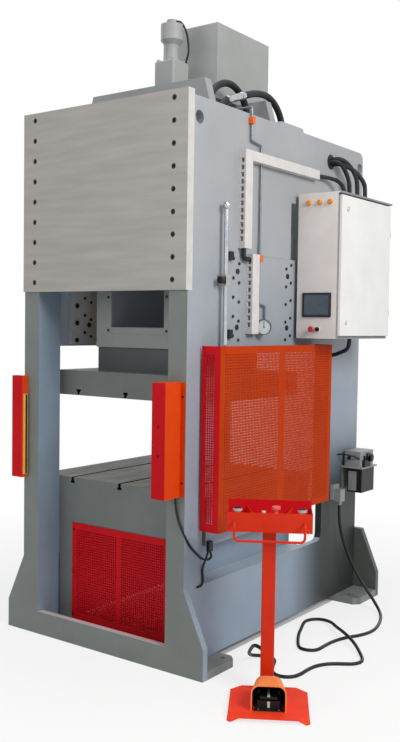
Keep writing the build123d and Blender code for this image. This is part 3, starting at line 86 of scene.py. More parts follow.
def start_material(name, rough, metal=0.0, coat=0.0, shine=0.5):
    """New material with its uniform values set, its shader and its coordinates."""
    made = bpy.data.materials.new(name)
    made.use_nodes = True
    tree = made.node_tree
    shader = tree.nodes["Principled BSDF"]
    shader.inputs["Roughness"].default_value = rough
    shader.inputs["Metallic"].default_value = metal
    if metal == 0.0:
        shader.inputs["IOR"].default_value = COATING_IOR
        shader.inputs["Specular IOR Level"].default_value = shine
    if coat:
        shader.inputs["Coat Weight"].default_value = coat
        shader.inputs["Coat Roughness"].default_value = 0.12
    place = add(tree, "ShaderNodeTexCoord")
    return made, tree, shader, place


def two_tone(name, dark, light, patch_mm, rough, grain_mm, grain_depth_mm, metal=0.0, coat=0.0,
             stretch=(1, 1, 1), shine=0.5):
    """Finish whose colour drifts between two tones over patch_mm, with a surface grain of grain_mm.

    The grain is drawn as coarse as it needs to show."""
    made, tree, shader, place = start_material(name, rough, metal, coat, shine)
    spot = add(tree, "ShaderNodeMapping", {"Scale": stretch}, {"Vector": (place, "Object")})
    drift = add(tree, "ShaderNodeTexNoise", {"Scale": 1000 / patch_mm, "Detail": 5.0, "Roughness": 0.55},
                {"Vector": (spot, "Vector")})
    ramp = add(tree, "ShaderNodeValToRGB", None, {"Fac": (drift, "Fac")})
    ramp.color_ramp.elements[0].position = TONE_LOW
    ramp.color_ramp.elements[0].color = linear(dark)
    ramp.color_ramp.elements[1].position = TONE_HIGH
    ramp.color_ramp.elements[1].color = linear(light)
    tree.links.new(ramp.outputs["Color"], shader.inputs["Base Color"])
    grain = add(tree, "ShaderNodeTexNoise", {"Scale": 1000 / grain_mm, "Detail": 3.0},
                {"Vector": (spot, "Vector")})
    spread = add(tree, "ShaderNodeMapRange",
                 {"From Min": TONE_LOW, "From Max": TONE_HIGH, "To Min": max(rough - 0.06, 0.03),
                  "To Max": rough + 0.08},
                 {"Value": (grain, "Fac")})
    tree.links.new(spread.outputs["Result"], shader.inputs["Roughness"])
    relief = add(tree, "ShaderNodeBump", {"Strength": 0.35, "Distance": grain_depth_mm / 1000},
                 {"Height": (grain, "Fac")})
    tree.links.new(relief.outputs["Normal"], shader.inputs["Normal"])
    return made


def height_graded(name, low_dark, low_light, high_dark, high_light, low_z, high_z, patch_mm, rough, low_rear=None):
    """Enamel whose tone drifts over patch_mm and turns from a low pair of tones to a high pair with height.

    low_rear is the tone that it takes towards the low rear end."""
    made, tree, shader, place = start_material(name, rough, shine=0.35)
    drift = add(tree, "ShaderNodeTexNoise", {"Scale": 1000 / patch_mm, "Detail": 5.0, "Roughness": 0.55},
                {"Vector": (place, "Object")})
    pairs = []
    for dark, light in ((low_dark, low_light), (high_dark, high_light)):
        ramp = add(tree, "ShaderNodeValToRGB", None, {"Fac": (drift, "Fac")})
        ramp.color_ramp.elements[0].position = TONE_LOW
        ramp.color_ramp.elements[0].color = linear(dark)
        ramp.color_ramp.elements[1].position = TONE_HIGH
        ramp.color_ramp.elements[1].color = linear(light)
        pairs.append(ramp)
    axes = add(tree, "ShaderNodeSeparateXYZ", None, {"Vector": (place, "Object")})
    rise = add(tree, "ShaderNodeMapRange", {"From Min": low_z, "From Max": high_z,
                                            "interpolation_type": "SMOOTHSTEP"}, {"Value": (axes, "Z")})
    tone = add(tree, "ShaderNodeMix", {"data_type": "RGBA"}, {"Factor": (rise, "Result")})
    tree.links.new(pairs[0].outputs["Color"], tone.inputs[6])
    tree.links.new(pairs[1].outputs["Color"], tone.inputs[7])
    if low_rear:
        rear = add(tree, "ShaderNodeMapRange", {"From Min": REAR_START, "From Max": REAR_FULL,
                                                "interpolation_type": "SMOOTHSTEP"}, {"Value": (axes, "Y")})
        under = add(tree, "ShaderNodeMapRange", {"From Min": LOW_START, "From Max": LOW_FULL,
                                                 "interpolation_type": "SMOOTHSTEP"}, {"Value": (axes, "Z")})
        both = add(tree, "ShaderNodeMath", {"operation": "MULTIPLY"},
                   {0: (rear, "Result"), 1: (under, "Result")})
        deeper = add(tree, "ShaderNodeMix", {"data_type": "RGBA", 7: linear(low_rear)},
                     {"Factor": (both, "Value")})
        tree.links.new(tone.outputs[2], deeper.inputs[6])
        tone = deeper
    tree.links.new(tone.outputs[2], shader.inputs["Base Color"])
    grain = add(tree, "ShaderNodeTexNoise", {"Scale": PEEL_SCALE, "Detail": 3.0},
                {"Vector": (place, "Object")})
    relief = add(tree, "ShaderNodeBump", {"Strength": 0.3, "Distance": PEEL_DEPTH}, {"Height": (grain, "Fac")})
    tree.links.new(relief.outputs["Normal"], shader.inputs["Normal"])
    return made


# Machine enamel on the side plates, rolled on, with a soft sheen; bluer low down, a painted bluish light, and
# dull dark grey at the low rear, painted shade
side_enamel = height_graded("grey_side_enamel", "#8494A6", "#8F9EAF", "#999CA1", "#A3A5A9", 0.5, 3.2, 420, 0.45,
                        low_rear="#2E3231")
# The rear plate's coat, dark near the floor
rear_enamel = height_graded("grey_rear_enamel", "#525654", "#5C605E", "#8C8F91", "#969899", 0.6, 1.9, 420, 0.48)
# Dull grey enamel of the foot plates
foot_enamel = two_tone("grey_foot_enamel", "#7C8280", "#878C8A", 160, 0.5, 9, 0.25, shine=0.35)
# Machine enamel of the crown: a plain satin grey with an orange-peel skin
grey_enamel = two_tone("grey_machine_enamel", "#8C8F91", "#979A9B", 420, 0.45, 9, 0.25, shine=0.35)
# The greener enamel of everything that faces the front, painted darker as painted shade on faces turned from
# the light; faces turned to the right take the side enamel, painted light
front_shaded_enamel = two_tone("grey_enamel_front_shade", "#6F7572", "#7A807D", 380, 0.48, 9, 0.25, shine=0.35)
# The still darker coat of bed and platen, satin
press_enamel = two_tone("dark_press_enamel", "#666B69", "#707573", 300, 0.46, 9, 0.25, shine=0.35)
# The coat of the ram and its guides, which sit in shade, painted paler as painted light
ram_lightened_enamel = two_tone("ram_enamel_painted_light", "#868C8A", "#929795", 300, 0.46, 9, 0.25, shine=0.35)
# The dark coat of the gauge's case and the oil pot's bracket; on the neck under the ram the same dark tone is
# painted shade under the ram
dark_and_neck_shade_enamel = two_tone("dark_enamel_and_neck_shade", "#4A4F50", "#555A5B", 300, 0.5, 9, 0.25, shine=0.3)
# The coat of the guide blocks, flat, painted pale as painted light in their shaded recess
guide_lightened_enamel = two_tone("guide_enamel_painted_light", "#B4B8BA", "#C0C4C6", 300, 0.5, 9, 0.25, shine=0.3)
# The enamel on the lit faces inside the frame, painted pale blue: painted light on the tops and the faces
# turned to the right
lit_inner_enamel = two_tone("inner_enamel_painted_blue_light", "#A6B6C6", "#B2C0CE", 380, 0.45, 9, 0.25, shine=0.3)
# Bluish sheen of the enamel on the inner faces of the legs
blue_enamel = two_tone("blue_grey_inner_enamel", "#7E91A4", "#8B9DAE", 380, 0.42, 9, 0.25, shine=0.35)
# Sprayed tank enamel, flatter than the rest
tank_enamel = two_tone("tank_enamel", "#949696", "#A0A2A2", 300, 0.5, 9, 0.25, shine=0.35)
# Surface-ground cover plate: fine lines across the width, a dull warm metal sheen
ground_plate = two_tone("surface_ground_steel", "#989590", "#A5A19C", 90, 0.45, 3, 0.04, metal=0.15,
                        stretch=(0.2, 1, 2.0))
# Freshly ground edge of the cover, nearly white: a painted highlight where the light catches it, also on the
# platen's end and the portal's sill
edge_highlight = two_tone("ground_edge_painted_highlight", "#C0BDBD", "#CBC9C7", 60, 0.4, 3, 0.03, metal=0.1)
# Turned steel of the cylinder, with a crisp metallic sheen
machined_steel = two_tone("machined_steel", "#8E9092", "#A8AAAC", 40, 0.32, 2, 0.05, metal=0.85,
                          stretch=(1, 1, 4))
# Milled bed top: warm grey, long faint tool marks
bed_top_iron = two_tone("milled_bed_top", "#676963", "#9A9B93", 150, 0.6, 4, 0.08, shine=0.25,
                        stretch=(3, 0.4, 1))
# Orange guard enamel, satin
orange_paint = two_tone("orange_guard_enamel", "#AC3409", "#B53B0C", 260, 0.55, 8, 0.15, shine=0.06)
# The brighter orange of the light curtain housings
curtain_paint = two_tone("orange_curtain_enamel", "#CC3E0A", "#D6460E", 260, 0.5, 8, 0.15, shine=0.12)
# Deep red enamel of the faces turned to the front; on the curtain housings and the guard's wings it is their
# orange enamel painted deeper as painted shade
red_with_front_shade = two_tone("red_enamel_and_front_shade", "#BE0C18", "#CA121C", 240, 0.52, 8, 0.15, shine=0.1)
# Red-orange enamel of the two-hand stand
stand_paint = two_tone("red_orange_enamel", "#C42608", "#CC2E0C", 200, 0.45, 8, 0.15, shine=0.2)
# The stand's red enamel on its floor plate, painted brighter as painted light from above
plate_lit_red = two_tone("stand_plate_red_painted_light", "#EA3A1E", "#F04424", 160, 0.5, 8, 0.15, shine=0.2)
# Moulded hood, pale orange and dull
hood_plastic = two_tone("moulded_orange_plastic", "#F08240", "#F68C4C", 90, 0.55, 2, 0.08, shine=0.3)
# Hard chrome of the rods and the hose ferrule: bright and mirror-like
chrome_plate = two_tone("chrome_plate", "#B2B6BA", "#C2C6CA", 60, 0.16, 3, 0.01, metal=1.0)
# Zinc plate on screws and fittings, slightly cloudy
zinc_plate = two_tone("zinc_plated_steel", "#A6A8A4", "#BCBDB8", 20, 0.3, 2, 0.03, metal=0.9)
# Drawn steel pipe, darker and bluish
pipe_steel = two_tone("drawn_pipe_steel", "#6A737B", "#7B848B", 20, 0.35, 2, 0.03, metal=0.6)
# Satin nickel of the door locks, button bodies and collars: pale, with a soft sheen
satin_nickel = two_tone("satin_nickel", "#C4C6C8", "#D2D4D6", 10, 0.4, 1.5, 0.02, metal=0.3)
# Blackened socket screws, nearly matt
blackened = two_tone("blackened_steel", "#16171A", "#222326", 15, 0.45, 2, 0.04, metal=0.4)
# Hydraulic hose rubber, dark slate
hose_rubber = two_tone("hose_rubber", "#171A1D", "#212529", 30, 0.55, 4, 0.12, shine=0.3)
# Smooth black cord sheath
cord_rubber = two_tone("cord_rubber", "#0F1011", "#181A1B", 30, 0.48, 3, 0.06, shine=0.3)
# Black moulded plastic of knobs and switches
black_plastic = two_tone("black_moulded_plastic", "#0E0F10", "#171819", 20, 0.45, 1.5, 0.05, shine=0.3)
# Textured powder coat of the cabinet front, warm light grey
cabinet_powder = two_tone("cabinet_powder_coat", "#D6D0CD", "#E0DBD8", 200, 0.5, 3, 0.12)
# The whiter coat of the cabinet door
door_powder = two_tone("door_powder_coat", "#DCDCDC", "#E4E4E4", 200, 0.5, 3, 0.1)
# Grey seal round the cabinet door, and the plate on the oil pot
edge_seal = two_tone("grey_edge_seal", "#7C7E80", "#8A8C8E", 40, 0.55, 2, 0.05)
# Pale grey cable duct
duct_pvc = two_tone("grey_pvc", "#C6C4C3", "#D1CECD", 80, 0.55, 3, 0.04)
# Amber lamp caps, glossy
amber_lens = two_tone("amber_lens", "#D07A16", "#E08E22", 10, 0.15, 3, 0.02, coat=0.5)
# Screen of the operator panel, a dull blue grey
screen_glass = two_tone("blue_grey_screen_glass", "#46525E", "#505C68", 60, 0.14, 4, 0.005, coat=0.5)
# Its nearly black bezel
bezel_plastic = two_tone("dark_bezel_plastic", "#171C24", "#20262F", 30, 0.35, 1.5, 0.03)
# Orange pipe clamps
clamp_plastic = two_tone("orange_clamp_plastic", "#D4601E", "#DE6E2A", 15, 0.5, 2, 0.05)
# Light curtain bar, a warm gold
strip_gold = two_tone("gold_lens_strip", "#DCA648", "#E8B458", 30, 0.35, 3, 0.02, shine=0.3)
# Red plastic of the stop button on the stand, painted pale as a painted highlight of glare
stop_red_glare = two_tone("red_plastic_painted_glare", "#E0605E", "#EA7470", 10, 0.35, 1.5, 0.01, coat=0.3)
# Painted-over screw heads, a darker red dot on the sheet
screw_paint = two_tone("dark_red_screw_paint", "#70090F", "#7C0D14", 10, 0.6, 2, 0.05, shine=0.1)
# Dark inside of the T slots, painted shade that draws a black line on the bed
slot_black = two_tone("dark_slot_iron", "#161717", "#202120", 60, 0.7, 4, 0.05, shine=0.1)
# Red button caps
button_red = two_tone("red_button_plastic", "#C41420", "#D2222C", 10, 0.25, 1.5, 0.01, coat=0.4)
# Guide bronze
bronze = two_tone("guide_bronze", "#8E6A34", "#A57E42", 40, 0.35, 2, 0.03, metal=0.9)
# Cast plug and lubricator housings
case_grey = two_tone("grey_case_enamel", "#84888A", "#909496", 40, 0.5, 3, 0.08, shine=0.35)
# Smoky plastic of the oil pot
pot_plastic = two_tone("smoky_pot_plastic", "#131313", "#1D1C1C", 40, 0.4, 4, 0.05, shine=0.3)
# Dial card of the gauge, a flat light grey
dial_card = two_tone("grey_dial_card", "#AEB4B7", "#B8BEC0", 10, 0.6, 1, 0.01)
# Black window of the light beams
beam_lens = two_tone("black_beam_lens", "#141416", "#1C1C1E", 20, 0.15, 2, 0.01, coat=0.5)

finish = {
    "anchor_feet": foot_enamel, "bed_base": press_enamel, "bed_plate": press_enamel,
    "button_box": stand_paint, "button_collars": satin_nickel, "cabinet_body": cabinet_powder,
    "cabinet_door": door_powder, "cabinet_selector": black_plastic, "cabinet_stop": button_red,
    "cable_ducts": duct_pvc, "clamp_knob": black_plastic, "conduits": hose_rubber,
    "control_cables": cord_rubber, "cord_plug": case_grey, "cord_socket": case_grey,
    "cover_screws": blackened, "crown": grey_enamel, "crown_hoses": hose_rubber,
    "curtain_bars": strip_gold, "curtain_housings": curtain_paint, "cylinder_barrel": machined_steel,
    "foot_hood": hood_plastic, "foot_pedal": black_plastic, "foot_switch": black_plastic,
    "front_cover": ground_plate, "front_portal": front_shaded_enamel, "gauge_case": dark_and_neck_shade_enamel,
    "gauge_needle": black_plastic, "gib_screws": blackened, "guard_rod": chrome_plate,
    "guide_blocks": guide_lightened_enamel, "hose_stubs": zinc_plate, "lock_bottom": satin_nickel,
    "lock_top": satin_nickel, "lubricator": case_grey, "mesh_door": red_with_front_shade, "oil_tank": tank_enamel,
    "operator_screen": bezel_plastic, "palm_button_left": satin_nickel, "palm_button_right": satin_nickel,
    "panel_screws": zinc_plate, "pilot_lamps": amber_lens, "pipe_clamps": clamp_plastic,
    "piston_rod": chrome_plate, "platen": press_enamel, "pressure_pipe": pipe_steel,
    "ram_body": ram_lightened_enamel, "ram_liners": bronze, "rear_portal": rear_enamel, "rod_clamp": zinc_plate,
    "rubber_stops": hose_rubber, "side_guard": orange_paint, "side_plate_left": side_enamel,
    "side_plate_right": side_enamel, "stand_base": plate_lit_red, "stand_cord": cord_rubber,
    "stand_post": stand_paint, "stand_stop": stop_red_glare, "start_button": satin_nickel,
    "valve_block": tank_enamel,
}
for name, part in nodes.items():
    part.data.materials.clear()
    part.data.materials.append(finish[name])


def tint(name, material, chosen):
    """Give a further finish to the faces that are chosen by their middle and their direction."""
    part = nodes[name]
    part.data.materials.append(material)
    for face in part.data.polygons:
        if chosen(part.matrix_world @ face.center, face.normal):
            face.material_index = len(part.data.materials) - 1


# faces of one solid with a finish of their own, picked by these heights and places

near = 0.05                 # how close a face lies to the height that picks it
sill_height = 0.150         # top of the front portal's sill
window_sill = 0.510         # lower edge of the side plates' windows
slot_pitch = 0.415          # from one T slot of bed and platen to the next
slot_reach = 0.025          # a little more than half of a slot's width
neck_bottom, neck_top = 1.750, 1.915    # the neck between ram and platen
strip_x = 1.0045            # where the cabinet's dark edge strip begins
pot_top, bracket_x = 1.005, 0.690       # the oil pot lies below and beyond these, its bracket inside
door_screws_top = 0.900     # above it are the right light curtain's screws
curtain_split = FRONT - 0.1     # between the right curtain's front face and its flange
curtain_middle = 1.400      # middle height of the right light curtain
inner_rows = 0.150          # half the height in which the middle screws lie
pedal_strip = 0.0985        # height above which the pedal has its pale strip
tint("front_portal", blue_enamel, lambda at, way: way.x > 0.7 and at.x < 0)
# The portal's faces turned to the right take the lighter side enamel: painted light on the lit side
tint("front_portal", side_enamel, lambda at, way: way.x > 0.3 and at.x > 0)
# The sill's top and the cover's right edge are painted nearly white: painted highlight
tint("front_portal", edge_highlight, lambda at, way: way.z > 0.9 and abs(at.z - sill_height) < near)
tint("front_cover", edge_highlight, lambda at, way: way.x > 0.7)
tint("bed_plate", bed_top_iron, lambda at, way: way.z > 0.7)
# The bed's faces turned to the right take the lighter side enamel: painted light on the lit side
tint("bed_plate", side_enamel, lambda at, way: way.x > 0.7)
tint("bed_base", side_enamel, lambda at, way: way.x > 0.7)
# Tops and faces turned to the right inside the frame are painted pale blue: painted light
tint("bed_base", lit_inner_enamel, lambda at, way: way.z > 0.7)
tint("side_plate_right", lit_inner_enamel, lambda at, way: way.z > 0.7 and abs(at.z - window_sill) < 2 * near)
# The platen's end turned to the right is painted nearly white: painted highlight
tint("platen", edge_highlight, lambda at, way: way.x > 0.7)
# The insides of the T slots are painted dark: painted shade
for name in ("bed_plate", "platen"):
    tint(name, slot_black, lambda at, way: abs(way.y) < 0.5
         and min(abs(abs(at.x) - slot_pitch), abs(at.x)) < slot_reach)
# The ram's faces turned to the right take the lighter side enamel: painted light on the lit side
tint("ram_body", side_enamel, lambda at, way: way.x > 0.7)
# The neck's front faces are painted dark: painted shade under the ram
tint("ram_body", dark_and_neck_shade_enamel, lambda at, way: way.y < -0.7 and neck_bottom < at.z < neck_top)
# The left plate's inner face, turned to the right, is painted pale blue: painted light
tint("side_plate_left", lit_inner_enamel, lambda at, way: way.x > 0.7)
for name in ("palm_button_left", "palm_button_right"):
    tint(name, blackened, lambda at, way: way.z > 0.2)
# The curtain housing's front faces take the deep red: painted shade on faces turned from the light
tint("curtain_housings", red_with_front_shade, lambda at, way: way.y < -0.7 and at.y < FRONT - 0.02)
tint("cabinet_body", edge_seal, lambda at, way: at.x > strip_x and way.z < 0.7)
tint("lubricator", pot_plastic, lambda at, way: at.z < pot_top and at.x > bracket_x)
tint("lubricator", dark_and_neck_shade_enamel, lambda at, way: at.z < pot_top + 0.005 and at.x < bracket_x)
tint("panel_screws", red_with_front_shade, lambda at, way: at.z > door_screws_top and at.y < curtain_split)
tint("panel_screws", curtain_paint, lambda at, way: at.z > door_screws_top and at.y > curtain_split)
tint("panel_screws", screw_paint, lambda at, way: at.z > door_screws_top
     and (at.y < curtain_split) == (abs(at.z - curtain_middle) < inner_rows))
tint("panel_screws", blackened, lambda at, way: at.z < door_screws_top)
tint("foot_pedal", duct_pvc, lambda at, way: at.z > pedal_strip)
# The hood's inside faces are painted black: painted shade inside the hood
hood_middle = stand_at(0, -0.05, 0.085)
tint("foot_hood", black_plastic, lambda at, way: (hood_middle - at).dot(way) > 0.01)
box_low, box_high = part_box("button_box")
box_middle = (box_low + box_high) / 2
rearward = Vector((-math.sin(STAND_TURN), math.cos(STAND_TURN), 0))
tint("button_box", red_with_front_shade,
     lambda at, way: way.dot(rearward) < -0.7 and (at - box_middle).dot(rearward) > 0.02)


# modelling helpers

def clear_choice():
    """Leave edit mode and deselect everything."""
    if bpy.context.object and bpy.context.object.mode != "OBJECT":
        bpy.ops.object.mode_set(mode="OBJECT")
    bpy.ops.object.select_all(action="DESELECT")


def choose(piece):
    """Make the piece the only chosen and active one."""
    clear_choice()
    piece.select_set(True)
    bpy.context.view_layer.objects.active = piece


def fix_place(piece):
    """Move the piece's place, turn and scale into its mesh."""
    choose(piece)
    bpy.ops.object.transform_apply(location=True, rotation=True, scale=True)


def settle(piece, name, material, body):
    """Put the piece's place in its mesh, give it its finish and let it ride on a body."""
    fix_place(piece)
    piece.name = name
    piece.data.name = name
    piece.data.materials.clear()
    piece.data.materials.append(material)
    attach(piece, body)
    return piece


def apply_all(piece):
    """Apply the piece's modifiers in their order."""
    choose(piece)
    for modifier in list(piece.modifiers):
        bpy.ops.object.modifier_apply(modifier=modifier.name)


def slab(low, high):
    """Box between two corners, in place."""
    clear_choice()
    middle = [(a + b) / 2 for a, b in zip(low, high)]
    bpy.ops.mesh.primitive_cube_add(size=1, location=middle)
    piece = bpy.context.object
    piece.scale = [b - a for a, b in zip(low, high)]
    fix_place(piece)
    return piece


def soften(piece, width, segments=2):
    """Round every sharp edge of the piece."""
    modifier = piece.modifiers.new("round", "BEVEL")
    modifier.width = width
    modifier.segments = segments
    modifier.limit_method = "ANGLE"
    modifier.angle_limit = math.radians(40)
    apply_all(piece)


def join(pieces):
    """Join the pieces in the first one's mesh."""
    clear_choice()
    for piece in pieces:
        piece.select_set(True)
    bpy.context.view_layer.objects.active = pieces[0]
    bpy.ops.object.join()
    return pieces[0]


def round_bar(start, end, radius, sides=32, rounding=0.0):
    """Round bar from one point to another, with its rims rounded."""
    clear_choice()
    start, end = Vector(start), Vector(end)
    way = end - start
    bpy.ops.mesh.primitive_cylinder_add(
        vertices=sides, radius=radius, depth=way.length, location=(start + end) / 2,
        rotation=way.to_track_quat("Z", "Y").to_euler())
    piece = bpy.context.object
    fix_place(piece)
    if rounding:
        soften(piece, rounding, 2)
    choose(piece)
    bpy.ops.object.shade_smooth_by_angle(angle=math.radians(35))
    return piece


def flex(name, runs, radius, material, body):
    """Round cable along smooth lines, each a list of points in millimetres."""
    line = bpy.data.curves.new(name, "CURVE")
    line.dimensions = "3D"
    for points in runs:
        run = line.splines.new("NURBS")
        run.points.add(len(points) - 1)
        for point, (x, y, z) in zip(run.points, points):
            point.co = (x / 1000, deep(y), z / 1000, 1.0)
        run.order_u = 3
        run.use_endpoint_u = True
    line.bevel_depth = radius
    line.bevel_resolution = 4
    line.resolution_u = 8
    line.use_fill_caps = True
    piece = bpy.data.objects.new(name, line)
    bpy.context.scene.collection.objects.link(piece)
    piece.data.materials.append(material)
    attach(piece, body)
    return piece


def stretch(edge, low, high, pitch, web):
    """Intervals from edge: a web up to low, then gaps and webs up to high. Returns (ends, gap flags)."""
    count = max(1, round((high - low + web) / pitch))
    step = (high - low + web) / count
    ends, gaps = [low], [False]
    for index in range(count):
        ends += [low + index * step + step - web] + ([low + (index + 1) * step] if index < count - 1 else [])
        gaps += [True] + ([False] if index < count - 1 else [])
    return ends, gaps


def punched_sheet(spans_a, spans_b, at, thick, axis):
    """Sheet with rows of square holes, from one grid whose lines are moved to the hole edges.

    Each spans value is (low edge, [(low, high, pitch, web), ...] of its punched fields, high edge).
    axis is the sheet's normal and at its lower face."""
    lines = []
    for low_edge, fields, high_edge in (spans_a, spans_b):
        ends, gaps = [low_edge], []
        for field in fields:
            more, flags = stretch(ends[-1], *field)
            ends += more
            gaps += flags
        lines.append((ends + [high_edge], gaps + [False]))
    (ends_a, gaps_a), (ends_b, gaps_b) = lines
    clear_choice()
    bpy.ops.mesh.primitive_grid_add(x_subdivisions=len(gaps_a), y_subdivisions=len(gaps_b), size=2)
    piece = bpy.context.object
    across = len(gaps_a) + 1
    for index, vertex in enumerate(piece.data.vertices):
        a, b = ends_a[index % across], ends_b[index // across]
        vertex.co = (at, a, b) if axis == "X" else (a, at, b)
    bpy.ops.object.mode_set(mode="EDIT")
    bpy.ops.mesh.select_mode(type="FACE")
    bpy.ops.mesh.select_all(action="DESELECT")
    bpy.ops.object.mode_set(mode="OBJECT")
    for index, face in enumerate(piece.data.polygons):
        face.select = gaps_a[index % len(gaps_a)] and gaps_b[index // len(gaps_a)]
    bpy.ops.object.mode_set(mode="EDIT")
    bpy.ops.mesh.delete(type="FACE")
    bpy.ops.mesh.select_all(action="SELECT")
    bpy.ops.object.mode_set(mode="OBJECT")
    wall = piece.modifiers.new("wall", "SOLIDIFY")
    wall.thickness = thick
    wall.offset = 1.0 if axis == "X" else -1.0
    apply_all(piece)
    return piece


# side guard: folded sheet with punched fields

guard_low, guard_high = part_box("side_guard")
x_in, x_out = guard_low.x, guard_high.x
sheet = 0.004
g0, g1 = guard_low.y, guard_high.y
gz0, gz1 = guard_low.z, guard_high.z
rim = 0.046
bar0, bar1 = deep(786), deep(869)
guard_holes = (0.0168, 0.0088)      # pitch of the holes and web between them
wing_holes = (0.0145, 0.0055)
wing_inner, wing_outer, wing_end = 0.034, 0.045, 0.050      # plain edges round a wing's holes
tab_x, tab_front, tab_rear = 0.702, deep(298), deep(338)    # tab that holds the rod
tab_low, tab_high = gz1 - 0.08, gz1 - 0.04
fields_up = (gz0, [(gz0 + rim, gz1 - rim, *guard_holes)], gz1)
fields_along = (g0, [(g0 + rim, bar0, *guard_holes), (bar1, g1 - rim, *guard_holes)], g1)
fields_wing = (x_in, [(x_in + wing_inner, x_out - wing_outer, *wing_holes)], x_out - sheet)
wing_up = (gz0, [(gz0 + wing_end, gz1 - wing_end, *wing_holes)], gz1)
pieces = [
    punched_sheet(fields_along, fields_up, x_out - sheet, sheet, "X"),
    slab((tab_x, tab_front, tab_low), (x_out - sheet, tab_rear, tab_high)),
]
guard_skin = settle(join(pieces), "side_guard_sheet", orange_paint, "guard")
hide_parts("side_guard")
# The guard's wings, turned to the front, take the deep red: painted shade of the orange guard enamel
wings = [punched_sheet(fields_wing, wing_up, at, sheet, "Y") for at in (g0, g1 - sheet)]
guard_wings = settle(join(wings), "side_guard_wings", red_with_front_shade, "guard")
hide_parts("side_guard")

# mesh door below the bed

door_low, door_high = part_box("mesh_door")
dx0, dx1 = door_low.x, door_high.x
bar = 0.046
door_holes = (0.0165, 0.008)
door_across = (dx0, [(dx0 + bar, -bar / 2, *door_holes), (bar / 2, dx1 - bar, *door_holes)], dx1)
door_up = (door_low.z, [(door_low.z + bar, door_high.z - bar, *door_holes)], door_high.z)
door_skin = punched_sheet(door_across, door_up, door_low.y, door_high.y - door_low.y, "Y")
settle(door_skin, "mesh_door_sheet", red_with_front_shade, "frame")
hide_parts("mesh_door")

# cord from the plug to the stand, along the solid's own points in millimetres

cord_route = [
    (729, 1845, 752), (729, 1845, 668),
    (742, 1850, 560), (775, 1868, 430), (828, 1890, 300), (900, 1905, 180), (985, 1900, 85),
    (1065, 1850, 25), (1125, 1760, 12), (1170, 1650, 12), (1208, 1525, 12), (1222, 1405, 12),
    (1195, 1292, 12), (1140, 1195, 12), (1108, 1090, 12), (1100, 980, 12), (1104, 870, 12),
    (1074, 830, 12), (1025, 816, 12), (978, 834, 12), (905, 955, 12), (850, 1065, 12),
    (805, 1180, 12), (762, 1285, 12), (758, 1345, 12), (792, 1398, 14), (855, 1412, 18),
    (942, 1362, 28), (1020, 1270, 40), (1085, 1215, 46), (1185, 1130, 46), (1270, 1058, 34),
    (1345, 975, 18), (1405, 895, 12), (1418, 835, 12), (1390, 780, 12), (1335, 745, 12),
    (1265, 690, 12), (1225, 610, 12), (1218, 520, 12), (1222, 445, 12), (1206, 372, 12),
    (1145, 334, 12), (1076, 354, 12), (1022, 448, 12), (985, 545, 12), (925, 573, 12),
    (864, 547, 14), (841, 485, 28), (885, 390, 80), (950, 327, 150), (1012, 265, 192),
    (1081, 226, 196),
    (1133.1, 204.5, 170), (1164.4, 153.4, 170),
]
cord = flex("stand_cord_flex", [cord_route], 0.011, cord_rubber, "frame")
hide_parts("stand_cord")

# pressure gauge dial with printed ticks

gauge_turn = math.radians(40)
dial_radius, dial_sink, card = 0.0445, 0.006, 0.0004
tick_count, first_tick, tick_step = 28, -135, 10        # degrees
tick_reach, tick_half, tick_print = 0.041, 0.0007, 0.0003
long_tick, short_tick = 0.010, 0.006
gauge_dir = Vector((math.cos(gauge_turn), -math.sin(gauge_turn), 0))
gauge_side = Vector((math.sin(gauge_turn), math.cos(gauge_turn), 0))
gauge_at = Vector((0.737, deep(737), 2.065)) - gauge_dir * dial_sink
dial = round_bar(gauge_at, gauge_at + gauge_dir * card, dial_radius, 40)
settle(dial, "gauge_dial", dial_card, "frame")
ticks = []
for index in range(tick_count):
    angle = math.radians(first_tick + tick_step * index)
    length = short_tick if index % 3 else long_tick
    tick = slab((-tick_half, tick_reach - length, card), (tick_half, tick_reach, card + tick_print))
    tick.matrix_world = Matrix((
        (gauge_side.x, 0, gauge_dir.x, gauge_at.x), (gauge_side.y, 0, gauge_dir.y, gauge_at.y),
        (0, 1, 0, gauge_at.z), (0, 0, 0, 1))) @ Matrix.Rotation(-angle, 4, "Z")
    fix_place(tick)
    ticks.append(tick)
settle(join(ticks), "gauge_ticks", black_plastic, "frame")

# operator screen glass

bezel, glass_sink, glass_back = 0.0145, 0.0005, 0.002
screen_low, screen_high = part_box("operator_screen")
glass = slab((screen_low.x + bezel, screen_low.y + glass_sink, screen_low.z + bezel),
             (screen_high.x - bezel, screen_low.y + glass_back, screen_high.z - bezel))
soften(glass, 0.0006)
settle(glass, "operator_screen_glass", screen_glass, "frame")

# beam windows of the two light curtain bars

bar_proud, lens_half, lens_front, lens_rear, lens_end = 0.012, 0.0005, 0.010, 0.026, 0.004
bar_low, bar_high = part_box("curtain_bars")
for label, face in (("left", bar_low.x + bar_proud), ("right", bar_high.x - bar_proud)):
    lens = slab((face - lens_half, bar_low.y + lens_front, bar_low.z + lens_end),
                (face + lens_half, bar_low.y + lens_rear, bar_high.z - lens_end))
    soften(lens, 0.0002, 1)
    settle(lens, f"curtain_lens_{label}", beam_lens, "frame")

# strip that closes the slit between the left leg and the bed's base

leg_inside, strip_gap, strip_thick = -0.540, 0.0002, 0.0088
web_end, strip_end = deep(194.8), deep(204.5)
bed_underside = 0.742
closing = slab((leg_inside - strip_gap - strip_thick, web_end, window_sill + 0.002),
               (leg_inside - strip_gap, strip_end, bed_underside))
soften(closing, 0.0002, 1)
settle(closing, "bed_closing_strip", blue_enamel, "frame")

# cables of the pilot valve and of the right light curtain, with its plug box

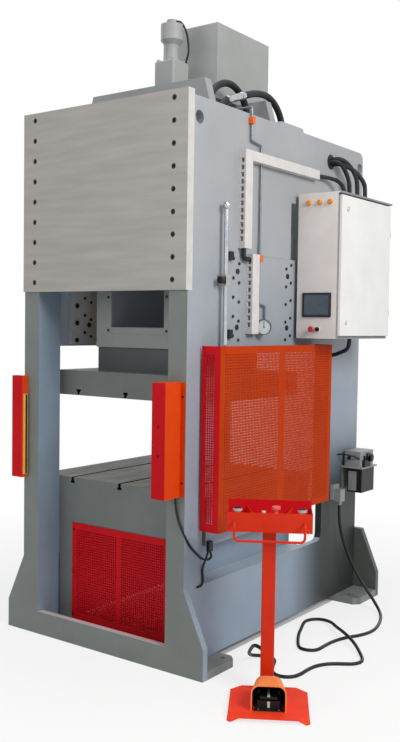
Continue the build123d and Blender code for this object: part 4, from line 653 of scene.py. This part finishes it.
cables = flex("control_cable_runs", [
    [(30, 685, 4098), (52, 700, 4108), (80, 726, 4060), (97, 738, 3980), (100, 742, 3900), (84, 744, 3862),
     (76, 744, 3846), (76, 744, 3828)],
    [(618, -20, 1064), (618, -14, 1010), (630, -10, 941), (656, -10, 884), (682, 4, 826), (681, 66, 752),
     (681, 140, 694), (682, 176, 668), (694, 214, 656), (700, 246, 668), (701, 236, 694), (701, 228, 712)],
    [(698, 214, 712), (694, 198, 672), (683, 172, 610), (682, 186, 545), (682, 178, 508), (680, 142, 504),
     (673, 128, 506)],
], 0.007, cord_rubber, "frame")
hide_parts("control_cables")
box = slab((0.690, deep(202), 0.708), (0.713, deep(244), 0.772))
soften(box, 0.004)
settle(box, "curtain_plug_box", black_plastic, "frame")

# crown: smooth hoses, hose ferrule, bolt heads of the valve block

hoses = flex("crown_hose_runs", [
    [(370, 600, 3340), (370, 600, 3500), (370, 650, 3600), (370, 745, 3660), (370, 850, 3680),
     (370, 950, 3650), (370, 1030, 3580), (370, 1060, 3480), (370, 1060, 3340)],
    [(450, 620, 3340), (450, 620, 3470), (450, 665, 3514), (450, 720, 3537), (450, 800, 3565),
     (450, 900, 3601), (450, 1060, 3650), (450, 1220, 3655), (450, 1350, 3570), (450, 1400, 3440),
     (450, 1400, 3340)],
], 0.023, hose_rubber, "frame")
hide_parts("crown_hoses")

hose_x = 0.45
ferrule = [round_bar((hose_x, deep(690), 3.5265), (hose_x, deep(890), 3.597), 0.0255, 32, 0.003),
           round_bar((hose_x, deep(700), 3.530), (hose_x, deep(728), 3.540), 0.031, 6, 0.002),
           round_bar((hose_x, deep(850), 3.583), (hose_x, deep(880), 3.5935), 0.028, 32, 0.003)]
settle(join(ferrule), "hose_ferrule", chrome_plate, "frame")
bolt_x, bolt_seat, bolt_top, bolt_radius = 0.062, 3.829, 3.846, 0.013
bolts = [round_bar((x, deep(y), bolt_seat), (x, deep(y), bolt_top), bolt_radius, 24, 0.002)
         for x in (-bolt_x, bolt_x) for y in (623, 747)]
settle(join(bolts), "valve_bolt_heads", tank_enamel, "frame")

# ram: raised frame round the front pocket, with its screws

ram_front = deep(355)
rail_face = ram_front - 0.004
rail_out, rail_in = 0.268, 0.226
rail_bottom, rail_sill, rail_top = 2.010, 2.047, 2.690
rails = [slab((-rail_out, rail_face, rail_bottom), (-rail_in, ram_front, rail_top)),
         slab((rail_in, rail_face, rail_bottom), (rail_out, ram_front, rail_top)),
         slab((-rail_in, rail_face, rail_bottom), (rail_in, ram_front, rail_sill))]
for rail in rails:
    soften(rail, 0.0015)
settle(join(rails), "ram_pocket_frame", ram_lightened_enamel, "ram")
rail_middle, head_proud = (rail_out + rail_in) / 2, 0.006
screws = [round_bar((x, rail_face, z), (x, rail_face - head_proud, z), 0.009, 20, 0.0015)
          for x in (-rail_middle, rail_middle) for z in (2.030, 2.25, 2.47, 2.66)]
settle(join(screws), "ram_frame_screws", blackened, "ram")

# conduits: three from the cable hole to the cabinet, and the single ones of the ducts and below the cabinet

bundle = flex("conduit_bundle", [
    [(626, 1702 + back, 3262 + up), (690, 1704 + back, 3266 + up), (738, 1715 + back, 3268 + up),
     ((735 + out) / 2, place - 75, 3236 + up), (out, place - 14, 3150 + up),
     (out, place, 3060), (out, place, 2968)]
    for back, up, out, place in ((-19, -8, 765, 1830), (12, 17, 806, 1872), (14, -19, 848, 1912))
], 0.016, hose_rubber, "frame")
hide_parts("conduits")
singles = flex("conduit_singles", [
    [(700, 541.7, 2553), (700, 541.7, 2520), (700, 545, 2497), (700, 575, 2489), (700, 612, 2489)],
    [(700, 1450, 3130), (700, 1520, 3130), (716, 1600, 3133), (752, 1690, 3118), (775, 1735, 3060),
     (775, 1735, 2968)],
    [(885, 1640, 1994), (885, 1640, 1950), (860, 1655, 1912), (790, 1690, 1890), (730, 1712, 1870),
     (676, 1712, 1866)],
], 0.0145, hose_rubber, "frame")
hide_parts("conduits")

# cover panel beside the access opening, and the sleeve in the cable hole

side_face, panel_thick = 0.675, 0.002
panel = slab((side_face, deep(776), 2.523), (side_face + panel_thick, deep(1150), 2.906))
soften(panel, 0.001)
settle(panel, "side_cover_panel", side_enamel, "frame")
sleeve_at, sleeve_height, sleeve_radius = deep(1702), 3.262, 0.0545
sleeve = round_bar((side_face - 0.035, sleeve_at, sleeve_height),
                   (side_face + 0.001, sleeve_at, sleeve_height), sleeve_radius, 40, 0.002)
settle(sleeve, "cable_hole_sleeve", hose_rubber, "frame")

# lubricator: filler cap, fittings, gauge and oil line

caps = [round_bar((0.742, deep(1970), 1.092), (0.742, deep(1955), 1.092), 0.014, 24, 0.003),
        slab((0.838, deep(1990), 1.027), (0.858, deep(2040), 1.075)),
        slab((0.838, deep(2052), 1.027), (0.853, deep(2100), 1.125)),
        round_bar((0.845, deep(2016), 1.070), (0.845, deep(2016), 1.110), 0.010, 20, 0.002),
        round_bar((0.838, deep(2128), 1.085), (0.855, deep(2128), 1.085), 0.028, 28, 0.003)]
settle(join(caps), "lubricator_fittings", black_plastic, "frame")
plate = slab((0.733, deep(1973), 0.846), (0.800, deep(1974.5), 0.992))
soften(plate, 0.0005, 1)
settle(plate, "lubricator_plate", edge_seal, "frame")
flex("lubricator_line", [
    [(676, 1900, 1118), (720, 1902, 1124), (790, 1940, 1112), (836, 1985, 1080), (848, 2010, 1050),
     (848, 2014, 1030)],
], 0.006, cord_rubber, "frame")

# foot switch: floor plate with two screws, and the pale strip on the switch's front

def turned(low, high):
    """Box on the stand between two corners of its own frame."""
    piece = slab(low, high)
    piece.matrix_world = Matrix.Translation(stand_at(0, 0, 0)) @ Matrix.Rotation(STAND_TURN, 4, "Z")
    fix_place(piece)
    return piece


hood_floor = turned((-0.078, -0.126, 0.026), (0.078, -0.0955, 0.030))
settle(hood_floor, "hood_floor_plate", black_plastic, "frame")
pale_strip = turned((-0.007, -0.0965, 0.034), (0.007, -0.0949, 0.068))
settle(pale_strip, "switch_strip", duct_pvc, "frame")
floor_top, screw_top, screw_back = 0.030, 0.033, -0.112
floor_screws = [round_bar(stand_at(across, screw_back, floor_top), stand_at(across, screw_back, screw_top),
                          0.006, 16, 0.001) for across in (-0.055, 0.055)]
settle(join(floor_screws), "hood_floor_screws", zinc_plate, "frame")

# stage, light and camera

clear_choice()
bpy.ops.mesh.primitive_plane_add(size=60, location=(0, 0, 0))
floor = bpy.context.object
floor.name = "studio_floor"
floor_mat = bpy.data.materials.new("studio_floor")
floor_mat.use_nodes = True
tree = floor_mat.node_tree
shader = tree.nodes["Principled BSDF"]
shader.inputs["Base Color"].default_value = linear("#E4E4E4")
shader.inputs["Roughness"].default_value = 0.9
place = add(tree, "ShaderNodeTexCoord")
away = add(tree, "ShaderNodeVectorMath", {"operation": "LENGTH"}, {0: (place, "Object")})
fade = add(tree, "ShaderNodeMapRange", {"From Min": 1.6, "From Max": 4.2, "To Min": 0.72, "To Max": 1.0},
           {"Value": (away, "Value")})
ray = add(tree, "ShaderNodeLightPath")
seen_ray = add(tree, "ShaderNodeMath", {"operation": "MAXIMUM"},
               {0: (ray, "Is Camera Ray"), 1: (ray, "Is Glossy Ray")})
seen_fade = add(tree, "ShaderNodeMath", {"operation": "MULTIPLY"},
                {0: (fade, "Result"), 1: (seen_ray, "Value")})
white = add(tree, "ShaderNodeEmission", {"Color": (1, 1, 1, 1), "Strength": 1.0})
# the floor under the press keeps its own shade, so it is dark behind the punched door
axes = add(tree, "ShaderNodeSeparateXYZ", None, {0: (place, "Object")})
shade_half_width, shade_middle, shade_half_depth = 0.66, deep(1000), 0.95
across = add(tree, "ShaderNodeMath", {"operation": "COMPARE", 1: 0.0, 2: shade_half_width}, {0: (axes, "X")})
along = add(tree, "ShaderNodeMath", {"operation": "COMPARE", 1: shade_middle, 2: shade_half_depth},
            {0: (axes, "Y")})
inside = add(tree, "ShaderNodeMath", {"operation": "MULTIPLY"}, {0: (across, "Value"), 1: (along, "Value")})
outside = add(tree, "ShaderNodeMath", {"operation": "SUBTRACT", 0: 1.0}, {1: (inside, "Value")})
lit = add(tree, "ShaderNodeMath", {"operation": "MULTIPLY"}, {0: (seen_fade, "Value"), 1: (outside, "Value")})
blend = add(tree, "ShaderNodeMixShader", None,
            {0: (lit, "Value"), 1: (shader, "BSDF"), 2: (white, "Emission")})
tree.links.new(blend.outputs["Shader"], tree.nodes["Material Output"].inputs["Surface"])
floor.data.materials.append(floor_mat)

world = bpy.data.worlds.new("studio")
bpy.context.scene.world = world
world.use_nodes = True
tree = world.node_tree
sky = tree.nodes["Background"]
sky.inputs["Color"].default_value = linear("#F0F3F6")
sky.inputs["Strength"].default_value = 0.36
seen = add(tree, "ShaderNodeBackground", {"Strength": 1.0, "Color": (1, 1, 1, 1)})
ray = add(tree, "ShaderNodeLightPath")
either = add(tree, "ShaderNodeMath", {"operation": "MAXIMUM"},
             {0: (ray, "Is Camera Ray"), 1: (ray, "Is Transmission Ray")})
any_ray = add(tree, "ShaderNodeMath", {"operation": "MAXIMUM"},
              {0: (either, "Value"), 1: (ray, "Is Glossy Ray")})
mix = add(tree, "ShaderNodeMixShader", None,
          {0: (any_ray, "Value"), 1: (sky, "Background"), 2: (seen, "Background")})
tree.links.new(mix.outputs["Shader"], tree.nodes["World Output"].inputs["Surface"])


def lamp(name, place, aim, size, power, colour):
    """Round soft lamp at a place, aimed at a point, with its power in watts."""
    data = bpy.data.lights.new(name, "AREA")
    data.shape = "DISK"
    data.size = size
    data.energy = power
    data.color = linear(colour)[:3]
    made = bpy.data.objects.new(name, data)
    bpy.context.scene.collection.objects.link(made)
    made.location = place
    made.rotation_euler = (Vector(aim) - Vector(place)).to_track_quat("-Z", "Y").to_euler()
    return made


lamp("key_right", (6.5, -2.2, 5.2), (0.6, -0.3, 1.9), 3.0, 360, "#FFFDF8")
lamp("fill_front", (-1.5, -7.5, 4.0), (0, -0.6, 1.6), 4.0, 110, "#FFFFFF")
lamp("fill_rear", (-0.6, 7.8, 4.0), (0, 0.8, 1.8), 2.4, 130, "#FFFFFF")
lamp("fill_left", (-7.2, -0.8, 4.0), (-0.6, 0, 1.8), 4.0, 120, "#FFFFFF")
lamp("top_soft", (0.5, -1.0, 7.5), (0, 0, 2.5), 3.5, 120, "#FFFFFF")

photo_height, focal_pixels, film_mm = 742, 911.9, 36
eye = Vector((3.8504, FRONT - 4.2197, 2.0683))
azimuth, pitch, roll = math.radians(36.11), math.radians(2.84), math.radians(-0.83)
ahead = Vector((-math.sin(azimuth) * math.cos(pitch), math.cos(azimuth) * math.cos(pitch), -math.sin(pitch)))
right = Vector((math.cos(azimuth), math.sin(azimuth), 0))
down = ahead.cross(right)
side = right * math.cos(roll) + down * math.sin(roll)
low = down * math.cos(roll) - right * math.sin(roll)
view = bpy.data.cameras.new("photo_view")
view.sensor_width = film_mm
view.sensor_fit = "AUTO"
view.lens = focal_pixels * film_mm / photo_height
view.clip_end = 100
camera = bpy.data.objects.new("photo_view", view)
bpy.context.scene.collection.objects.link(camera)
camera.matrix_world = Matrix((
    (side.x, -low.x, -ahead.x, eye.x), (side.y, -low.y, -ahead.y, eye.y), (side.z, -low.z, -ahead.z, eye.z),
    (0, 0, 0, 1)))
bpy.context.scene.camera = camera
bpy.context.scene.view_settings.view_transform = "Standard"
